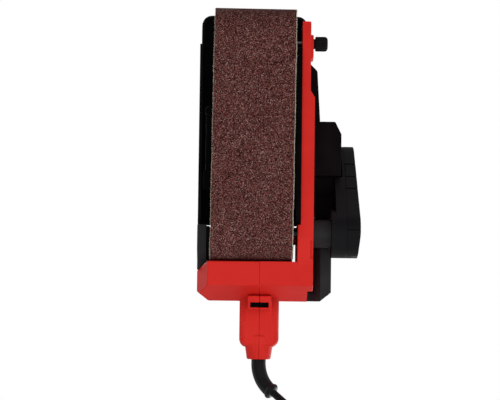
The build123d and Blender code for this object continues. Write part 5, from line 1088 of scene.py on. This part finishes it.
def softShell(name, width):
    bm = bmesh.new()
    bm.from_mesh(nodes[name].data)
    bmesh.ops.remove_doubles(bm, verts=bm.verts, dist=0.001 * mm)
    bmesh.ops.dissolve_limit(bm, angle_limit=math.radians(rounding["flat"]), verts=bm.verts, edges=bm.edges)
    bm.normal_update()
    weight = bm.edges.layers.float.new("bevel_weight_edge")
    least = math.radians(rounding["sharp"])
    sharp = {edge for edge in bm.edges if edge.is_manifold and edge.calc_face_angle_signed() > least}
    room = edgeRoom(sharp)
    for edge in sharp:
        share = min(1.0, *(room[vert] / width for vert in edge.verts))
        edge[weight] = share if share > rounding["least"] else 0.0
    shell = addPiece(f"{name}_shell", bm, nodes[name]["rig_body"], name, finish=(finishOf[name],),
                     smooth=rounding["sharp"])
    bevel = shell.modifiers.new("edgeRounding", "BEVEL")
    bevel.width = width
    bevel.segments = rounding["segments"]
    bevel.limit_method = "WEIGHT"
    bevel.use_clamp_overlap = False
    print("softened", name, "eased", easeEdges(shell, rounding["near"] * width))
    flat = shell.modifiers.new("flatFaces", "WEIGHTED_NORMAL")
    flat.keep_sharp = True


for name, width in shells.items():
    softShell(name, width * mm)
print("shells softened:", len(shells))

# Stage: pale floor under the tool, clear when looked at from below; white all round
stage = {
    "floorHeight": -0.5 * mm,
    "floorHalf": 2.0,
    "floorFade": (0.5, 1.4),  # metres from the middle, where it passes into the white room
    "horizon": 0.3,           # the light from below passes into that from above within this Z of a direction
    "ambientBelow": 0.3,
    "ambientAbove": 0.5,
    # what shiny surfaces mirror, from straight down (0) to straight up (1)
    "gloss": [(0.43, 0.06), (0.52, 0.7), (0.6, 0.75), (0.74, 0.3)],
}
# place and aim in metres, side of the square lamp, watts, whether shiny surfaces mirror it
lamps = {
    "keyAbove": ((0.7, -0.9, 1.5), (-0.1, 0, 0.05), 0.9, 26, True),
    "fillAbove": ((-0.9, 1.0, 1.2), (-0.1, 0, 0.05), 1.2, 14, True),
    "underFront": ((-0.1, 0.6, -1.2), (-0.05, 0, 0.03), 1.8, 13, False),
    "underRear": ((-0.9, -0.3, -1.0), (-0.1, 0, 0.03), 1.6, 8, False),
}


def makeFloor():
    material = bpy.data.materials.new("paleFloor")
    tree = emptyTree(material)
    face = addNode(tree, "ShaderNodeNewGeometry")
    solid = addNode(tree, "ShaderNodeBsdfDiffuse", {"Color": linearColor("ededeb")})
    clear = addNode(tree, "ShaderNodeBsdfTransparent")
    reach = addNode(tree, "ShaderNodeVectorMath", links={0: face.outputs["Position"]}, operation="LENGTH")
    fade = addNode(tree, "ShaderNodeMapRange", dict(zip(("From Min", "From Max"), stage["floorFade"])),
                   {"Value": reach.outputs["Value"]}, interpolation_type="SMOOTHSTEP")
    hide = addNode(tree, "ShaderNodeMath", links={0: face.outputs["Backfacing"], 1: fade}, operation="MAXIMUM")
    mix = addNode(tree, "ShaderNodeMixShader", links={0: hide, 1: solid, 2: clear})
    addNode(tree, "ShaderNodeOutputMaterial", links={"Surface": mix})
    half, height = stage["floorHalf"], stage["floorHeight"]
    mesh = bpy.data.meshes.new("floor")
    mesh.from_pydata([(-half, -half, height), (half, -half, height), (half, half, height), (-half, half, height)],
                     [], [(0, 1, 2, 3)])
    mesh.materials.append(material)
    floor = bpy.data.objects.new("floor", mesh)
    scene.collection.objects.link(floor)
    floor.visible_diffuse = False
    floor.visible_glossy = False
    floor.visible_shadow = False


def makeRoom():
    scene.world = bpy.data.worlds.new("whiteRoom")
    tree = emptyTree(scene.world)
    path = addNode(tree, "ShaderNodeLightPath")
    seen = addNode(tree, "ShaderNodeMath", links={
        0: path.outputs["Is Camera Ray"], 1: path.outputs["Is Transmission Ray"]}, operation="MAXIMUM")
    way = addNode(tree, "ShaderNodeTexCoord")
    height = addNode(tree, "ShaderNodeSeparateXYZ", links={0: way.outputs["Generated"]})
    ambient = addNode(tree, "ShaderNodeMapRange", {
        "From Min": -stage["horizon"], "From Max": stage["horizon"],
        "To Min": stage["ambientBelow"], "To Max": stage["ambientAbove"]}, {"Value": height.outputs[2]})
    share = addNode(tree, "ShaderNodeMapRange", {"From Min": -1.0}, {"Value": height.outputs[2]})
    glossy = addNode(tree, "ShaderNodeValToRGB", links={"Fac": share},
                     stops=[(place, (level, level, level, 1)) for place, level in stage["gloss"]])
    unseen = addNode(tree, "ShaderNodeMix", links={0: path.outputs["Is Glossy Ray"], 2: ambient, 3: glossy})
    level = addNode(tree, "ShaderNodeMix", {3: 1.0}, {0: seen, 2: unseen})
    room = addNode(tree, "ShaderNodeBackground", {"Color": (1, 1, 1, 1)}, {"Strength": level})
    addNode(tree, "ShaderNodeOutputWorld", links={"Surface": room})


def addLamp(name, place, aim, side, watts, shine):
    data = bpy.data.lights.new(name, "AREA")
    data.shape = "SQUARE"
    data.size = side
    data.energy = watts
    lamp = bpy.data.objects.new(name, data)
    lamp.location = place
    lamp.rotation_euler = (Vector(aim) - Vector(place)).to_track_quat("-Z", "Y").to_euler()
    lamp.visible_camera = False
    lamp.visible_glossy = shine
    scene.collection.objects.link(lamp)


makeFloor()
makeRoom()
for name, facts in lamps.items():
    addLamp(name, *facts)
print("stage lit")
